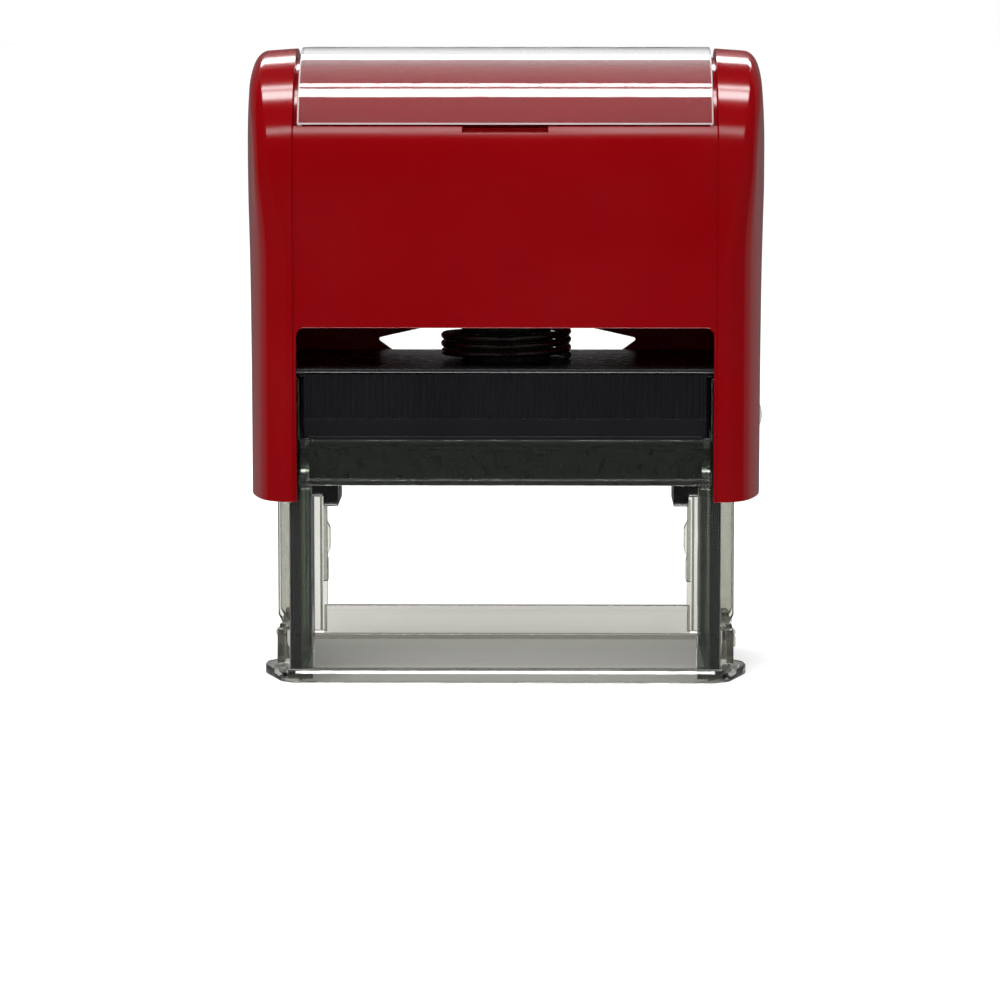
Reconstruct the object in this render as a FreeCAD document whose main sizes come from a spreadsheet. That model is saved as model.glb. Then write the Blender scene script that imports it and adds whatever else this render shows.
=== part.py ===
import FreeCAD, Part
import Sketcher

import math
import os

# Self-inking stamp: a cap that slides on a frame, pressing a die that turns over on its way down.
# Millimetres. X runs across the stamp, Y from front to back, Z up. The origin is the centre of the
# base's underside. The stamp stands at rest: cap up, die face up against the ink pad.

SIZES = {
    # cap casing
    "case_half_depth": 18.7,
    "case_floor": 26.0,
    "arch_centre": 71.2,
    "case_half_width": 37.3,
    "case_foot_half_width": 36.7,
    "shoulder_height": 73.0,
    "upper_corner_height": 86.8,
    "upper_corner_half_width": 36.4,
    "top_edge_half_width": 34.5,
    "top_edge_drop": 0.35,
    "upper_side_radius": 80.0,
    "top_corner_radius": 2.5,
    "front_flat_half_width": 30.5,
    "cheek_blend_x": 34.9,
    "cheek_blend_y": 14.2,
    "cheek_corner_radius": 7.0,
    "cheek_side_radius": 52.0,
    "case_cavity_half_depth": 16.9,
    "case_cavity_corner_half_width": 31.3,
    "case_cavity_half_width": 33.6,
    "case_cavity_side_half_depth": 12.0,
    "roof_radius": 15.7,
    "cutout_half_width": 29.65,
    "cutout_top": 50.8,
    "cutout_corner_radius": 1.2,
    "panel_recess": 0.3,
    "rear_cutout_top": 42.0,
    "rear_slot_half_width": 19.6,
    "rear_slot_foot_half_width": 17.0,
    "rear_slot_end_height": 46.5,
    "rear_slot_floor": 44.6,
    "rear_slot_top": 48.2,
    "rear_slot_top_half_width": 12.0,
    "nail_notch_half_width": 6.0,
    "nail_notch_height": 1.0,
    "nail_notch_depth": 1.0,
    # index window
    "window_half_width": 29.4,
    "window_outer_radius": 18.9,
    "window_thickness": 1.5,
    "window_edge_angle": 26.0,
    "window_end_gap_angle": 0.5,
    "window_bead_radius": 0.75,
    "window_gap": 0.05,
    "window_side_gap": 0.2,
    # base
    "base_half_depth": 18.7,
    "base_thickness": 1.7,
    "base_front_half_width": 31.2,
    "base_tip_half_width": 34.9,
    "base_tip_y": 8.5,
    "base_front_corner_radius": 28.0,
    "base_waist_half_width": 33.0,
    "base_waist_front_y": 6.5,
    "base_waist_back_y": 14.5,
    "base_rear_tip_half_width": 34.4,
    "base_rear_tip_y": 16.5,
    "opening_half_width": 29.0,
    "opening_half_depth": 13.7,
    "base_wall_thickness": 1.5,
    "base_wall_half_width": 27.4,
    "base_wall_top": 6.6,
    "base_bead_height": 0.9,
    "base_bead_depth": 0.35,
    "leg_floor": 0.5,
    "socket_front_y": 11.5,
    "socket_inner_y": 5.0,
    "socket_outer_x": 32.9,
    "socket_thickness": 1.1,
    "socket_top": 6.8,
    # side frame
    "wall_inner_x": 29.3,
    "wall_outer_x": 30.8,
    "wall_half_depth": 16.6,
    "wall_top": 43.5,
    "pillar_inner_x": 27.5,
    "pillar_inner_y": 14.4,
    "lobe_inner_x": 26.9,
    "lobe_inner_y": 12.7,
    "lobe_bottom": 9.8,
    "lobe_top": 22.5,
    "beam_bottom": 28.1,
    "beam_top": 34.7,
    "beam_inner_y": 15.0,
    "rail_inner_y": 2.4,
    "rail_outer_y": 4.0,
    "rail_outer_x": 33.2,
    "rail_bottom": 5.2,
    "rail_taper": 2.6,
    "rail_foot_width": 1.0,
    "rail_top": 42.0,
    "pin_slot_half_width": 1.7,
    "pin_slot_bottom": 4.8,
    "pin_slot_top": 32.2,
    "track_depth": 0.95,
    "track_half_width": 1.0,
    "running_gap": 0.05,
    # top bridge
    "bridge_top": 44.9,
    "bridge_lip_bottom": 44.25,
    "spring_post_radius": 6.5,
    "spring_post_top": 54.0,
    "spring_post_wall": 1.5,
    "clip_inner_y": 6.5,
    "clip_outer_y": 10.5,
    "clip_thickness": 1.2,
    "clip_bottom": 38.0,
    "clip_foot_height": 1.0,
    "clip_root_depth": 1.0,
    "clip_barb_top": 40.4,
    "clip_barb_reach": 0.7,
    # ink cartridge
    "tray_half_width": 29.1,
    "tray_half_depth": 16.4,
    "tray_bottom": 34.75,
    "tray_top": 43.2,
    "grip_half_width": 28.65,
    "grip_top": 44.1,
    "grip_inner_y": 15.1,
    "tray_body_half_depth": 14.8,
    "bridge_plate_half_depth": 14.9,
    "tray_lip_inner_y": 14.6,
    "tray_lip_height": 0.4,
    "tray_lip_reach": 0.15,
    "pocket_half_width": 28.4,
    "pocket_half_depth": 12.6,
    "pocket_roof": 41.8,
    "pad_bottom": 37.35,
    "pad_cover_thickness": 0.55,
    "pad_side_gap": 0.1,
    # die and its carrier
    "stroke": 24.0,
    "pivot_height": 30.5,
    "pivot_pin_radius": 1.5,
    "pivot_pin_end_x": 33.3,
    "carrier_half_width": 28.6,
    "carrier_half_depth": 11.3,
    "carrier_bottom": 31.1,
    "carrier_top": 33.1,
    "ear_half_depth": 6.5,
    "ear_inner_x": 24.3,
    "ear_step_x": 26.4,
    "ear_outer_x": 28.2,
    "ear_inner_bottom": 23.9,
    "ear_outer_bottom": 25.3,
    "carrier_rib_bottom": 29.3,
    "carrier_rib_thickness": 1.2,
    "carrier_rib_pitch": 10.3,
    "carrier_rib_inset": 2.0,
    "carrier_skirt_bottom": 28.1,
    "carrier_skirt_thickness": 1.4,
    "guide_pin_radius": 0.9,
    "guide_pin_offset": 4.0,
    "guide_pin_end_x": 30.15,
    "guide_pin_start_x": 26.4,
    "cushion_half_width": 28.0,
    "cushion_half_depth": 10.8,
    "cushion_top": 34.6,
    "rubber_half_depth": 10.5,
    "rubber_top": 35.8,
    "relief_top": 37.0,
    "relief_half_width": 26.6,
    "relief_half_depth": 8.8,
    "relief_line_depth": 1.0,
    "relief_block_half_depth": 5.2,
    "relief_block_width": 7.0,
    "relief_block_pitch": 11.0,
    # drive bow
    "bow_plate_bottom": 80.0,
    "bow_plate_top": 82.2,
    "bow_plate_half_depth": 9.0,
    "bow_rib_top": 86.7,
    "bow_rib_half_depth": 1.2,
    "spring_seat_radius": 11.2,
    "spring_seat_inner_radius": 9.8,
    "spring_seat_bottom": 77.6,
    "arm_half_depth": 2.1,
    "arm_inner_x": 31.1,
    "arm_outer_x": 33.4,
    "arm_flare_half_depth": 6.0,
    "arm_flare_bottom": 67.0,
    # return spring
    "spring_radius": 8.95,
    "spring_wire_radius": 0.55,
    "spring_turns": 8.0,
    # lock button
    "lock_height": 36.8,
    "lock_head_radius": 1.8,
    "lock_bore_radius": 1.88,
    "lock_bore_floor_x": 34.3,
    "lock_head_inner_x": 36.0,
    "lock_head_rim_x": 36.75,
    "lock_head_outer_x": 37.3,
    "lock_dome_radius": 2.66,
    "lock_rim_bevel": 0.18,
    "lock_stem_radius": 0.7,
    "lock_stem_tip_x": 30.95,
    "lock_collar_radius": 1.0,
    "lock_collar_inner_x": 32.9,
    "lock_collar_outer_x": 33.5,
    "lock_collar_clearance": 0.25,
    "lock_spring_radius": 1.3,
    "lock_spring_wire_radius": 0.16,
    "lock_spring_turns": 3.0,
}

AXIS_LETTERS = "xyz"
ORIGIN_POINT = -1
START_POINT = 1
END_POINT = 2
TRACK_STEPS = 16

# How far a cutting tool runs past the face that it cuts.
MARGIN = 1

doc = FreeCAD.newDocument("SelfInkingStamp")


class Size:
    """A length or angle that carries its value and the sheet expression it comes from."""

    def __init__(self, value, text):
        self.value = value
        self.text = text

    def __add__(self, other):
        other = as_size(other)
        return Size(self.value + other.value, f"({self.text} + {other.text})")

    def __sub__(self, other):
        other = as_size(other)
        return Size(self.value - other.value, f"({self.text} - {other.text})")

    def __mul__(self, other):
        other = as_size(other)
        return Size(self.value * other.value, f"{self.text} * {other.text}")

    def __truediv__(self, other):
        other = as_size(other)
        return Size(self.value / other.value, f"{self.text} / {other.text}")

    def __neg__(self):
        return Size(-self.value, f"(0 - {self.text})")

    def __radd__(self, other):
        return as_size(other) + self

    def __rsub__(self, other):
        return as_size(other) - self

    def __rmul__(self, other):
        return as_size(other) * self


def as_size(number):
    """Wrap a plain number, and leave a Size as it is."""
    if isinstance(number, Size):
        return number
    return Size(float(number), f"({number})")


def cosine(angle):
    """The cosine of an angle given in degrees."""
    return Size(math.cos(math.radians(angle.value)), f"cos({angle.text} * 1 deg)")


def sine(angle):
    """The sine of an angle given in degrees."""
    return Size(math.sin(math.radians(angle.value)), f"sin({angle.text} * 1 deg)")


def make_sheet(values):
    """Write every driving size into the spreadsheet and return them as named Sizes."""
    sheet = doc.addObject("Spreadsheet::Sheet", "Sizes")
    named = {}
    for row, (name, value) in enumerate(values.items(), start=1):
        sheet.set(f"A{row}", name)
        sheet.set(f"B{row}", str(value))
        sheet.setAlias(f"B{row}", name)
        named[name] = Size(float(value), f"Sizes.{name}")
    doc.recompute()
    return named


S = make_sheet(SIZES)


# ---------------------------------------------------------------- building blocks

def bind(target, prop, size):
    """Tie one property of an object to the sheet."""
    target.setExpression(prop, as_size(size).text)


def block(name, x, y, z):
    """A box between a low and a high face along each axis."""
    solid = doc.addObject("Part::Box", name)
    for prop, letter, (low, high) in zip(("Length", "Width", "Height"), AXIS_LETTERS, (x, y, z)):
        bind(solid, prop, as_size(high) - low)
        bind(solid, f"Placement.Base.{letter}", low)
    return solid


def rod(name, along, centre, low, high, radius):
    """A cylinder along one axis; centre gives its other two coordinates in X, Y, Z order."""
    solid = doc.addObject("Part::Cylinder", name)
    turns = {
        "x": FreeCAD.Rotation(FreeCAD.Vector(0, 1, 0), 90),
        "y": FreeCAD.Rotation(FreeCAD.Vector(1, 0, 0), -90),
        "z": FreeCAD.Rotation(),
    }
    solid.Placement = FreeCAD.Placement(FreeCAD.Vector(), turns[along])
    bind(solid, "Radius", radius)
    bind(solid, "Height", as_size(high) - low)
    bind(solid, f"Placement.Base.{along}", low)
    for letter, value in zip(AXIS_LETTERS.replace(along, ""), centre):
        bind(solid, f"Placement.Base.{letter}", value)
    return solid


def fuse(name, *shapes):
    """Join shapes into one solid."""
    joined = doc.addObject("Part::MultiFuse", name)
    joined.Shapes = list(shapes)
    joined.Refine = True
    return joined


def common(name, *shapes):
    """Keep what all the shapes share."""
    shared = doc.addObject("Part::MultiCommon", name)
    shared.Shapes = list(shapes)
    return shared


def cut(name, base, *tools):
    """Take the tools away from the base."""
    remainder = doc.addObject("Part::Cut", name)
    remainder.Base = base
    if len(tools) > 1:
        remainder.Tool = fuse(f"{name}_tools", *tools)
    else:
        remainder.Tool = tools[0]
    remainder.Refine = True
    return remainder


def mirrored(name, source, normal=(1, 0, 0)):
    """A copy of a shape on the other side of the stamp's centre plane."""
    copy = doc.addObject("Part::Mirroring", name)
    copy.Source = source
    copy.Normal = FreeCAD.Vector(*normal)
    return copy


def both_sides(name, source, normal=(1, 0, 0)):
    """A shape and its mirror image, as a list."""
    return [source, mirrored(f"{name}_mirror", source, normal)]


def reflected(corners):
    """Close a right-hand half outline with its mirror image.

    Corners run anticlockwise as (x, y, radius); a radius belongs to the edge that leaves its corner.
    """
    left = []
    for index in range(len(corners) - 1, -1, -1):
        x, y, _ = corners[index]
        radius = corners[index - 1][2] if index > 0 else None
        left.append((-as_size(x), y, radius))
    return corners[:-1] + [(corners[-1][0], corners[-1][1], None)] + left


def edge_between(start, end, radius):
    """A line, or with a radius an arc that bulges to the right of the way from start to end."""
    if radius is None:
        return Part.LineSegment(start, end)
    chord = end - start
    inward = FreeCAD.Vector(-chord.y, chord.x, 0).normalize()
    centre = (start + end) * 0.5 + inward * math.sqrt(radius.value**2 - (chord.Length / 2) ** 2)
    first = math.atan2(start.y - centre.y, start.x - centre.x)
    last = math.atan2(end.y - centre.y, end.x - centre.x)
    if last < first:
        last += 2 * math.pi
    return Part.ArcOfCircle(Part.Circle(centre, FreeCAD.Vector(0, 0, 1), radius.value), first, last)


def tie(sketch, constraint, size):
    """Add a dimension to a sketch and drive it from the sheet."""
    bind(sketch, f"Constraints[{sketch.addConstraint(constraint)}]", size)


def draw_outline(sketch, corners):
    """Draw a closed outline of lines and arcs, with each corner and radius tied to the sheet."""
    sized = [(as_size(x), as_size(y), radius) for x, y, radius in corners]
    points = [FreeCAD.Vector(x.value, y.value, 0) for x, y, _ in sized]
    following = points[1:] + points[:1]
    for start, end, corner in zip(points, following, sized):
        sketch.addGeometry(edge_between(start, end, corner[2]), False)
    for edge, (x, y, radius) in enumerate(sized):
        after = (edge + 1) % len(sized)
        sketch.addConstraint(Sketcher.Constraint("Coincident", edge, END_POINT, after, START_POINT))
        for kind, size in (("DistanceX", x), ("DistanceY", y)):
            place = Sketcher.Constraint(kind, ORIGIN_POINT, START_POINT, edge, START_POINT, size.value)
            tie(sketch, place, size)
        if radius is not None:
            tie(sketch, Sketcher.Constraint("Radius", edge, radius.value), radius)


def sketch_on(body, role, offset, corners):
    """A sketch of a closed outline on one of a body's origin planes, moved along its normal."""
    sketch = body.newObject("Sketcher::SketchObject", f"{body.Name}_outline")
    plane = next(feature for feature in body.Origin.OriginFeatures if feature.Role == role)
    sketch.AttachmentSupport = [(plane, "")]
    sketch.MapMode = "FlatFace"
    bind(sketch, "AttachmentOffset.Base.z", offset)
    draw_outline(sketch, corners)
    return sketch


def prism(name, role, corners, low, high):
    """A padded outline between two coordinates along the normal of an origin plane."""
    body = doc.addObject("PartDesign::Body", name)
    offset = -as_size(high) if role == "XZ_Plane" else as_size(low)
    sketch = sketch_on(body, role, offset, corners)
    pad = body.newObject("PartDesign::Pad", f"{name}_pad")
    pad.Profile = sketch
    bind(pad, "Length", as_size(high) - low)
    return body


def turned(name, corners, height, start_x):
    """A half outline turned about an axis along X; corners are (x, radius) pairs from the axis."""
    body = doc.addObject("PartDesign::Body", name)
    sketch = sketch_on(body, "XZ_Plane", as_size(0), corners)
    turn = body.newObject("PartDesign::Revolution", f"{name}_turn")
    turn.Profile = sketch
    turn.ReferenceAxis = (sketch, ["H_Axis"])
    turn.Angle = 360
    bind(body, "Placement.Base.z", height)
    bind(body, "Placement.Base.x", start_x)
    return body


def coil(name, radius, wire_radius, turns, height):
    """A round wire swept along a helix that stands on the XY plane."""
    path = doc.addObject("Part::Helix", f"{name}_path")
    bind(path, "Radius", radius)
    bind(path, "Height", height)
    bind(path, "Pitch", height / turns)
    section = doc.addObject("Part::Circle", f"{name}_wire")
    section.Placement = FreeCAD.Placement(FreeCAD.Vector(), FreeCAD.Rotation(FreeCAD.Vector(1, 0, 0), 90))
    bind(section, "Radius", wire_radius)
    bind(section, "Placement.Base.x", radius)
    sweep = doc.addObject("Part::Sweep", name)
    sweep.Sections = [section]
    sweep.Spine = (path, [])
    sweep.Solid = True
    sweep.Frenet = True
    return sweep


def symmetric(size):
    """The span from minus a size to plus that size."""
    return (-as_size(size), as_size(size))


# ---------------------------------------------------------------- base

def make_base():
    """The clear foot: a flange with a stamping window, two low walls and sockets for the legs."""
    flange = prism(
        "base_flange",
        "XY_Plane",
        reflected([
            (S["base_front_half_width"], -S["base_half_depth"], S["base_front_corner_radius"]),
            (S["base_tip_half_width"], -S["base_tip_y"], None),
            (S["base_waist_half_width"], -S["base_waist_front_y"], None),
            (S["base_waist_half_width"], S["base_waist_back_y"], None),
            (S["base_rear_tip_half_width"], S["base_rear_tip_y"], None),
            (S["base_rear_tip_half_width"], S["base_half_depth"], None),
        ]),
        0,
        S["base_thickness"],
    )
    wall_outer_y = S["opening_half_depth"] + S["base_wall_thickness"]
    wall = block(
        "base_wall",
        symmetric(S["base_wall_half_width"]),
        (S["opening_half_depth"], wall_outer_y),
        (S["base_thickness"], S["base_wall_top"]),
    )
    bead = block(
        "base_bead",
        symmetric(S["base_wall_half_width"]),
        (wall_outer_y, wall_outer_y + S["base_bead_depth"]),
        (S["base_wall_top"] - S["base_bead_height"], S["base_wall_top"]),
    )
    rear_wall = fuse("base_rear_wall", wall, bead)
    sockets = []
    for name, span in (
        ("rear", (S["socket_inner_y"], S["socket_front_y"])),
        ("front", (-S["socket_front_y"], -S["socket_inner_y"])),
    ):
        outer = block(
            f"socket_{name}",
            (S["wall_outer_x"] + S["running_gap"], S["socket_outer_x"]),
            span,
            (S["base_thickness"], S["socket_top"]),
        )
        hollow = block(
            f"socket_{name}_hollow",
            (S["wall_outer_x"] + S["socket_thickness"], S["socket_outer_x"]),
            (span[0] + S["socket_thickness"], span[1] - S["socket_thickness"]),
            (S["base_thickness"], S["socket_top"]),
        )
        sockets += both_sides(f"socket_{name}", cut(f"socket_{name}_wall", outer, hollow))
    opening = block(
        "stamping_window",
        symmetric(S["opening_half_width"]),
        symmetric(S["opening_half_depth"]),
        (0, S["base_thickness"]),
    )
    leg_pocket = block(
        "leg_pocket",
        (S["opening_half_width"], S["wall_outer_x"] + S["running_gap"]),
        symmetric(S["wall_half_depth"] + S["running_gap"]),
        (S["leg_floor"], S["base_thickness"]),
    )
    pillar_pocket = block(
        "pillar_pocket",
        (S["pillar_inner_x"] - S["running_gap"], S["wall_outer_x"]),
        (S["pillar_inner_y"] - S["running_gap"], S["wall_half_depth"] + S["running_gap"]),
        (S["leg_floor"], S["base_thickness"]),
    )
    rear_pockets = both_sides("pillar_pocket", pillar_pocket)
    front_pockets = [
        mirrored(f"front_pocket_{index}", pocket, (0, 1, 0)) for index, pocket in enumerate(rear_pockets)
    ]
    base = fuse("base_solid", flange, *both_sides("base_rear_wall", rear_wall, (0, 1, 0)), *sockets)
    return cut(
        "clear_base", base, opening, *both_sides("leg_pocket", leg_pocket), *rear_pockets, *front_pockets
    )


# ---------------------------------------------------------------- side frame

def track_edge(side):
    """Points along one edge of the die's turning track, in the YZ plane.

    The guide pin sits below the pivot and swings to the back while the pivot comes down, so the
    track's centre line is y = offset * sin(turn), z = pivot - stroke * turn / pi - offset * cos(turn).
    """
    offset = S["guide_pin_offset"].value
    points = []
    for step in range(TRACK_STEPS + 1):
        turn = math.pi * step / TRACK_STEPS
        centre_y = offset * math.sin(turn)
        centre_z = S["pivot_height"].value - S["stroke"].value * turn / math.pi - offset * math.cos(turn)
        slope_y = offset * math.cos(turn)
        slope_z = -S["stroke"].value / math.pi + offset * math.sin(turn)
        length = math.hypot(slope_y, slope_z)
        shift = side * S["track_half_width"].value / length
        points.append(FreeCAD.Vector(0, centre_y + shift * slope_z, centre_z - shift * slope_y))
    return points


def make_track():
    """The curved groove that turns the die, as a solid to cut from the right-hand wall."""
    near, far = track_edge(1), track_edge(-1)
    edges = []
    for points in (near, far):
        curve = Part.BSplineCurve()
        curve.interpolate(points)
        edges.append(curve.toShape())
    reach = S["track_half_width"].value
    for first, second, drop in ((far[0], near[0], reach), (near[-1], far[-1], -reach)):
        middle = (first + second) * 0.5 + FreeCAD.Vector(0, 0, drop)
        edges.append(Part.Arc(first, middle, second).toShape())
    face = Part.Face(Part.Wire(Part.__sortEdges__(edges)))
    track = doc.addObject("Part::Feature", "turning_track")
    track.Shape = face.extrude(FreeCAD.Vector(S["track_depth"].value, 0, 0))
    track.Placement = FreeCAD.Placement(FreeCAD.Vector(S["wall_inner_x"].value, 0, 0), FreeCAD.Rotation())
    return track


def make_right_side():
    """The right-hand half of the frame's side: wall, pillars, lobes, rails and their cut-outs."""
    wall_span = (S["wall_inner_x"], S["wall_outer_x"])
    wall = block("side_wall", wall_span, symmetric(S["wall_half_depth"]), (S["leg_floor"], S["wall_top"]))
    pillar = block(
        "rear_pillar",
        (S["pillar_inner_x"], S["wall_inner_x"]),
        (S["pillar_inner_y"], S["wall_half_depth"]),
        (S["leg_floor"], S["beam_bottom"]),
    )
    lobe = rod(
        "rear_lobe",
        "x",
        (S["pillar_inner_y"], (S["lobe_bottom"] + S["lobe_top"]) / 2),
        S["lobe_inner_x"],
        S["wall_inner_x"],
        (S["lobe_top"] - S["lobe_bottom"]) / 2,
    )
    lobe_limit = block(
        "rear_lobe_limit",
        (S["lobe_inner_x"], S["wall_inner_x"]),
        (S["lobe_inner_y"], S["wall_half_depth"]),
        (S["lobe_bottom"], S["lobe_top"]),
    )
    rail = prism(
        "rear_rail",
        "XZ_Plane",
        [
            (S["wall_outer_x"], S["rail_bottom"], None),
            (S["wall_outer_x"] + S["rail_foot_width"], S["rail_bottom"], None),
            (S["rail_outer_x"], S["rail_bottom"] + S["rail_taper"], None),
            (S["rail_outer_x"], S["rail_top"], None),
            (S["wall_outer_x"], S["rail_top"], None),
        ],
        S["rail_inner_y"],
        S["rail_outer_y"],
    )
    side = fuse(
        "side_blank",
        wall,
        *both_sides("rear_pillar", pillar, (0, 1, 0)),
        *both_sides("rear_rail", rail, (0, 1, 0)),
        common("rear_lobe_solid", lobe, lobe_limit),
    )
    through = (S["wall_inner_x"] - MARGIN, S["wall_outer_x"] + MARGIN)
    slot = block(
        "pin_slot",
        through,
        symmetric(S["pin_slot_half_width"]),
        (S["pin_slot_bottom"], S["pin_slot_top"]),
    )
    lock_hole = rod(
        "lock_hole", "x", (0, S["lock_height"]), *through, S["lock_stem_radius"] + 2 * S["running_gap"]
    )
    clip_window = block(
        "clip_window",
        through,
        (S["clip_inner_y"] - S["running_gap"], S["clip_outer_y"] + S["running_gap"]),
        (S["clip_bottom"] + S["clip_foot_height"], S["clip_barb_top"] + S["running_gap"]),
    )
    clip_windows = both_sides("clip_window", clip_window, (0, 1, 0))
    return cut("right_side", side, slot, make_track(), lock_hole, *clip_windows)


def make_side_frame():
    """The smoke-clear frame: two slotted sides joined by a front and a rear beam."""
    beam = block(
        "rear_beam",
        symmetric(S["wall_inner_x"]),
        (S["beam_inner_y"], S["wall_half_depth"]),
        (S["beam_bottom"], S["beam_top"]),
    )
    beams = both_sides("rear_beam", beam, (0, 1, 0))
    return fuse("side_frame", *both_sides("right_side", make_right_side()), *beams)


# ---------------------------------------------------------------- top bridge

def make_bridge():
    """The black cross piece that closes the frame, with the spring's post and four snap clips."""
    plate = block(
        "bridge_plate",
        symmetric(S["wall_outer_x"]),
        symmetric(S["bridge_plate_half_depth"]),
        (S["wall_top"], S["bridge_top"]),
    )
    lip = block(
        "bridge_lip",
        symmetric(S["wall_outer_x"]),
        symmetric(S["wall_half_depth"]),
        (S["bridge_lip_bottom"], S["bridge_top"]),
    )
    post = rod("spring_post", "z", (0, 0), S["bridge_top"], S["spring_post_top"], S["spring_post_radius"])
    bore = rod(
        "spring_post_bore",
        "z",
        (0, 0),
        S["bridge_top"],
        S["spring_post_top"],
        S["spring_post_radius"] - S["spring_post_wall"],
    )
    clip_y = (S["clip_inner_y"], S["clip_outer_y"])
    clip_x = S["wall_outer_x"] + S["running_gap"]
    leg = block(
        "clip_leg", (clip_x, clip_x + S["clip_thickness"]), clip_y, (S["clip_bottom"], S["bridge_top"])
    )
    root = block(
        "clip_root",
        (S["wall_outer_x"] - S["clip_root_depth"], clip_x + S["clip_thickness"]),
        clip_y,
        (S["wall_top"], S["bridge_top"]),
    )
    barb = prism(
        "clip_barb",
        "XZ_Plane",
        [
            (clip_x, S["clip_bottom"] + S["clip_foot_height"] + S["running_gap"], None),
            (clip_x, S["clip_barb_top"], None),
            (clip_x - S["clip_barb_reach"], S["clip_barb_top"], None),
        ],
        *clip_y,
    )
    clip = fuse("clip", leg, root, barb)
    right_clips = both_sides("clip", clip, (0, 1, 0))
    left_clips = [mirrored(f"left_clip_{index}", one) for index, one in enumerate(right_clips)]
    body = fuse("bridge_body", plate, lip, *right_clips, *left_clips)
    return fuse("top_bridge", body, cut("spring_post_tube", post, bore))


# ---------------------------------------------------------------- ink cartridge

def make_cartridge():
    """The pad tray that slides in from the front, with a finger grip on each long side."""
    tray = block(
        "tray",
        symmetric(S["tray_half_width"]),
        symmetric(S["tray_body_half_depth"]),
        (S["tray_bottom"], S["tray_top"]),
    )
    grip = block(
        "rear_grip",
        symmetric(S["grip_half_width"]),
        (S["tray_lip_inner_y"], S["tray_half_depth"]),
        (S["tray_bottom"] + S["tray_lip_height"], S["tray_top"]),
    )
    grip_edge = block(
        "rear_grip_edge",
        symmetric(S["grip_half_width"]),
        (S["grip_inner_y"], S["tray_half_depth"]),
        (S["tray_top"], S["grip_top"]),
    )
    lip = block(
        "rear_tray_lip",
        symmetric(S["cushion_half_width"]),
        (S["tray_lip_inner_y"], S["tray_half_depth"] + S["tray_lip_reach"]),
        (S["tray_bottom"], S["tray_bottom"] + S["tray_lip_height"]),
    )
    rear = fuse("rear_edge", grip, grip_edge, lip)
    pocket = block(
        "pad_pocket",
        symmetric(S["pocket_half_width"]),
        symmetric(S["pocket_half_depth"]),
        (S["tray_bottom"], S["pocket_roof"]),
    )
    solid = fuse("tray_solid", tray, *both_sides("rear_edge", rear, (0, 1, 0)))
    return cut("ink_cartridge", solid, pocket)


def make_pad():
    """The ink pad: a foam core with a woven cover on its underside."""
    spans = (
        symmetric(S["pocket_half_width"] - S["pad_side_gap"]),
        symmetric(S["pocket_half_depth"] - S["pad_side_gap"]),
    )
    cover_top = S["pad_bottom"] + S["pad_cover_thickness"]
    foam = block("pad_foam", *spans, (cover_top, S["pocket_roof"]))
    cover = block("pad_cover", *spans, (S["pad_bottom"], cover_top))
    return foam, cover


# ---------------------------------------------------------------- die group

def make_carrier():
    """The die's carrier: a ribbed, skirted plate with a bored, hooked ear at each end."""
    plate = block(
        "carrier_plate",
        symmetric(S["carrier_half_width"]),
        symmetric(S["carrier_half_depth"]),
        (S["carrier_bottom"], S["carrier_top"]),
    )
    inner_ear = block(
        "ear_inner",
        (S["ear_inner_x"], S["ear_step_x"]),
        symmetric(S["ear_half_depth"]),
        (S["ear_inner_bottom"], S["carrier_bottom"]),
    )
    outer_ear = block(
        "ear_outer",
        (S["ear_step_x"], S["ear_outer_x"]),
        symmetric(S["ear_half_depth"]),
        (S["ear_outer_bottom"], S["carrier_bottom"]),
    )
    ears = both_sides("ear", fuse("ear", inner_ear, outer_ear))
    ribs = []
    for index in (-2, -1, 0, 1, 2):
        centre = index * S["carrier_rib_pitch"]
        ribs.append(block(
            f"carrier_rib_{index + 2}",
            (centre - S["carrier_rib_thickness"] / 2, centre + S["carrier_rib_thickness"] / 2),
            symmetric(S["carrier_half_depth"] - S["carrier_rib_inset"]),
            (S["carrier_rib_bottom"], S["carrier_bottom"]),
        ))
    skirt = block(
        "carrier_skirt",
        symmetric(S["ear_step_x"]),
        (S["carrier_half_depth"] - S["carrier_skirt_thickness"], S["carrier_half_depth"]),
        (S["carrier_skirt_bottom"], S["carrier_bottom"]),
    )
    skirts = both_sides("carrier_skirt", skirt, (0, 1, 0))
    spine = block(
        "carrier_spine",
        symmetric(S["ear_inner_x"]),
        symmetric(S["carrier_rib_thickness"] / 2),
        (S["carrier_rib_bottom"], S["carrier_bottom"]),
    )
    pivot_bore = rod(
        "pivot_bore",
        "x",
        (0, S["pivot_height"]),
        S["ear_inner_x"],
        S["carrier_half_width"] + MARGIN,
        S["pivot_pin_radius"],
    )
    guide_bore = rod(
        "guide_bore",
        "x",
        (0, S["pivot_height"] - S["guide_pin_offset"]),
        S["guide_pin_start_x"],
        S["ear_outer_x"] + MARGIN,
        S["guide_pin_radius"],
    )
    solid = fuse("carrier_solid", plate, *ears, *ribs, *skirts, spine)
    bores = both_sides("pivot_bore", pivot_bore) + both_sides("guide_bore", guide_bore)
    return cut("die_carrier", solid, *bores)


def make_pins():
    """Two pivot stubs and two guide pins, one of each at either end of the carrier."""
    pivot = rod(
        "pivot_pin_right",
        "x",
        (0, S["pivot_height"]),
        S["ear_inner_x"],
        S["pivot_pin_end_x"],
        S["pivot_pin_radius"],
    )
    guide = rod(
        "guide_pin_right",
        "x",
        (0, S["pivot_height"] - S["guide_pin_offset"]),
        S["guide_pin_start_x"],
        S["guide_pin_end_x"],
        S["guide_pin_radius"],
    )
    return [pivot, mirrored("pivot_pin_left", pivot), guide, mirrored("guide_pin_left", guide)]


def make_cushion():
    """The soft layer between the carrier and the rubber."""
    return block(
        "die_cushion",
        symmetric(S["cushion_half_width"]),
        symmetric(S["cushion_half_depth"]),
        (S["carrier_top"], S["cushion_top"]),
    )


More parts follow.
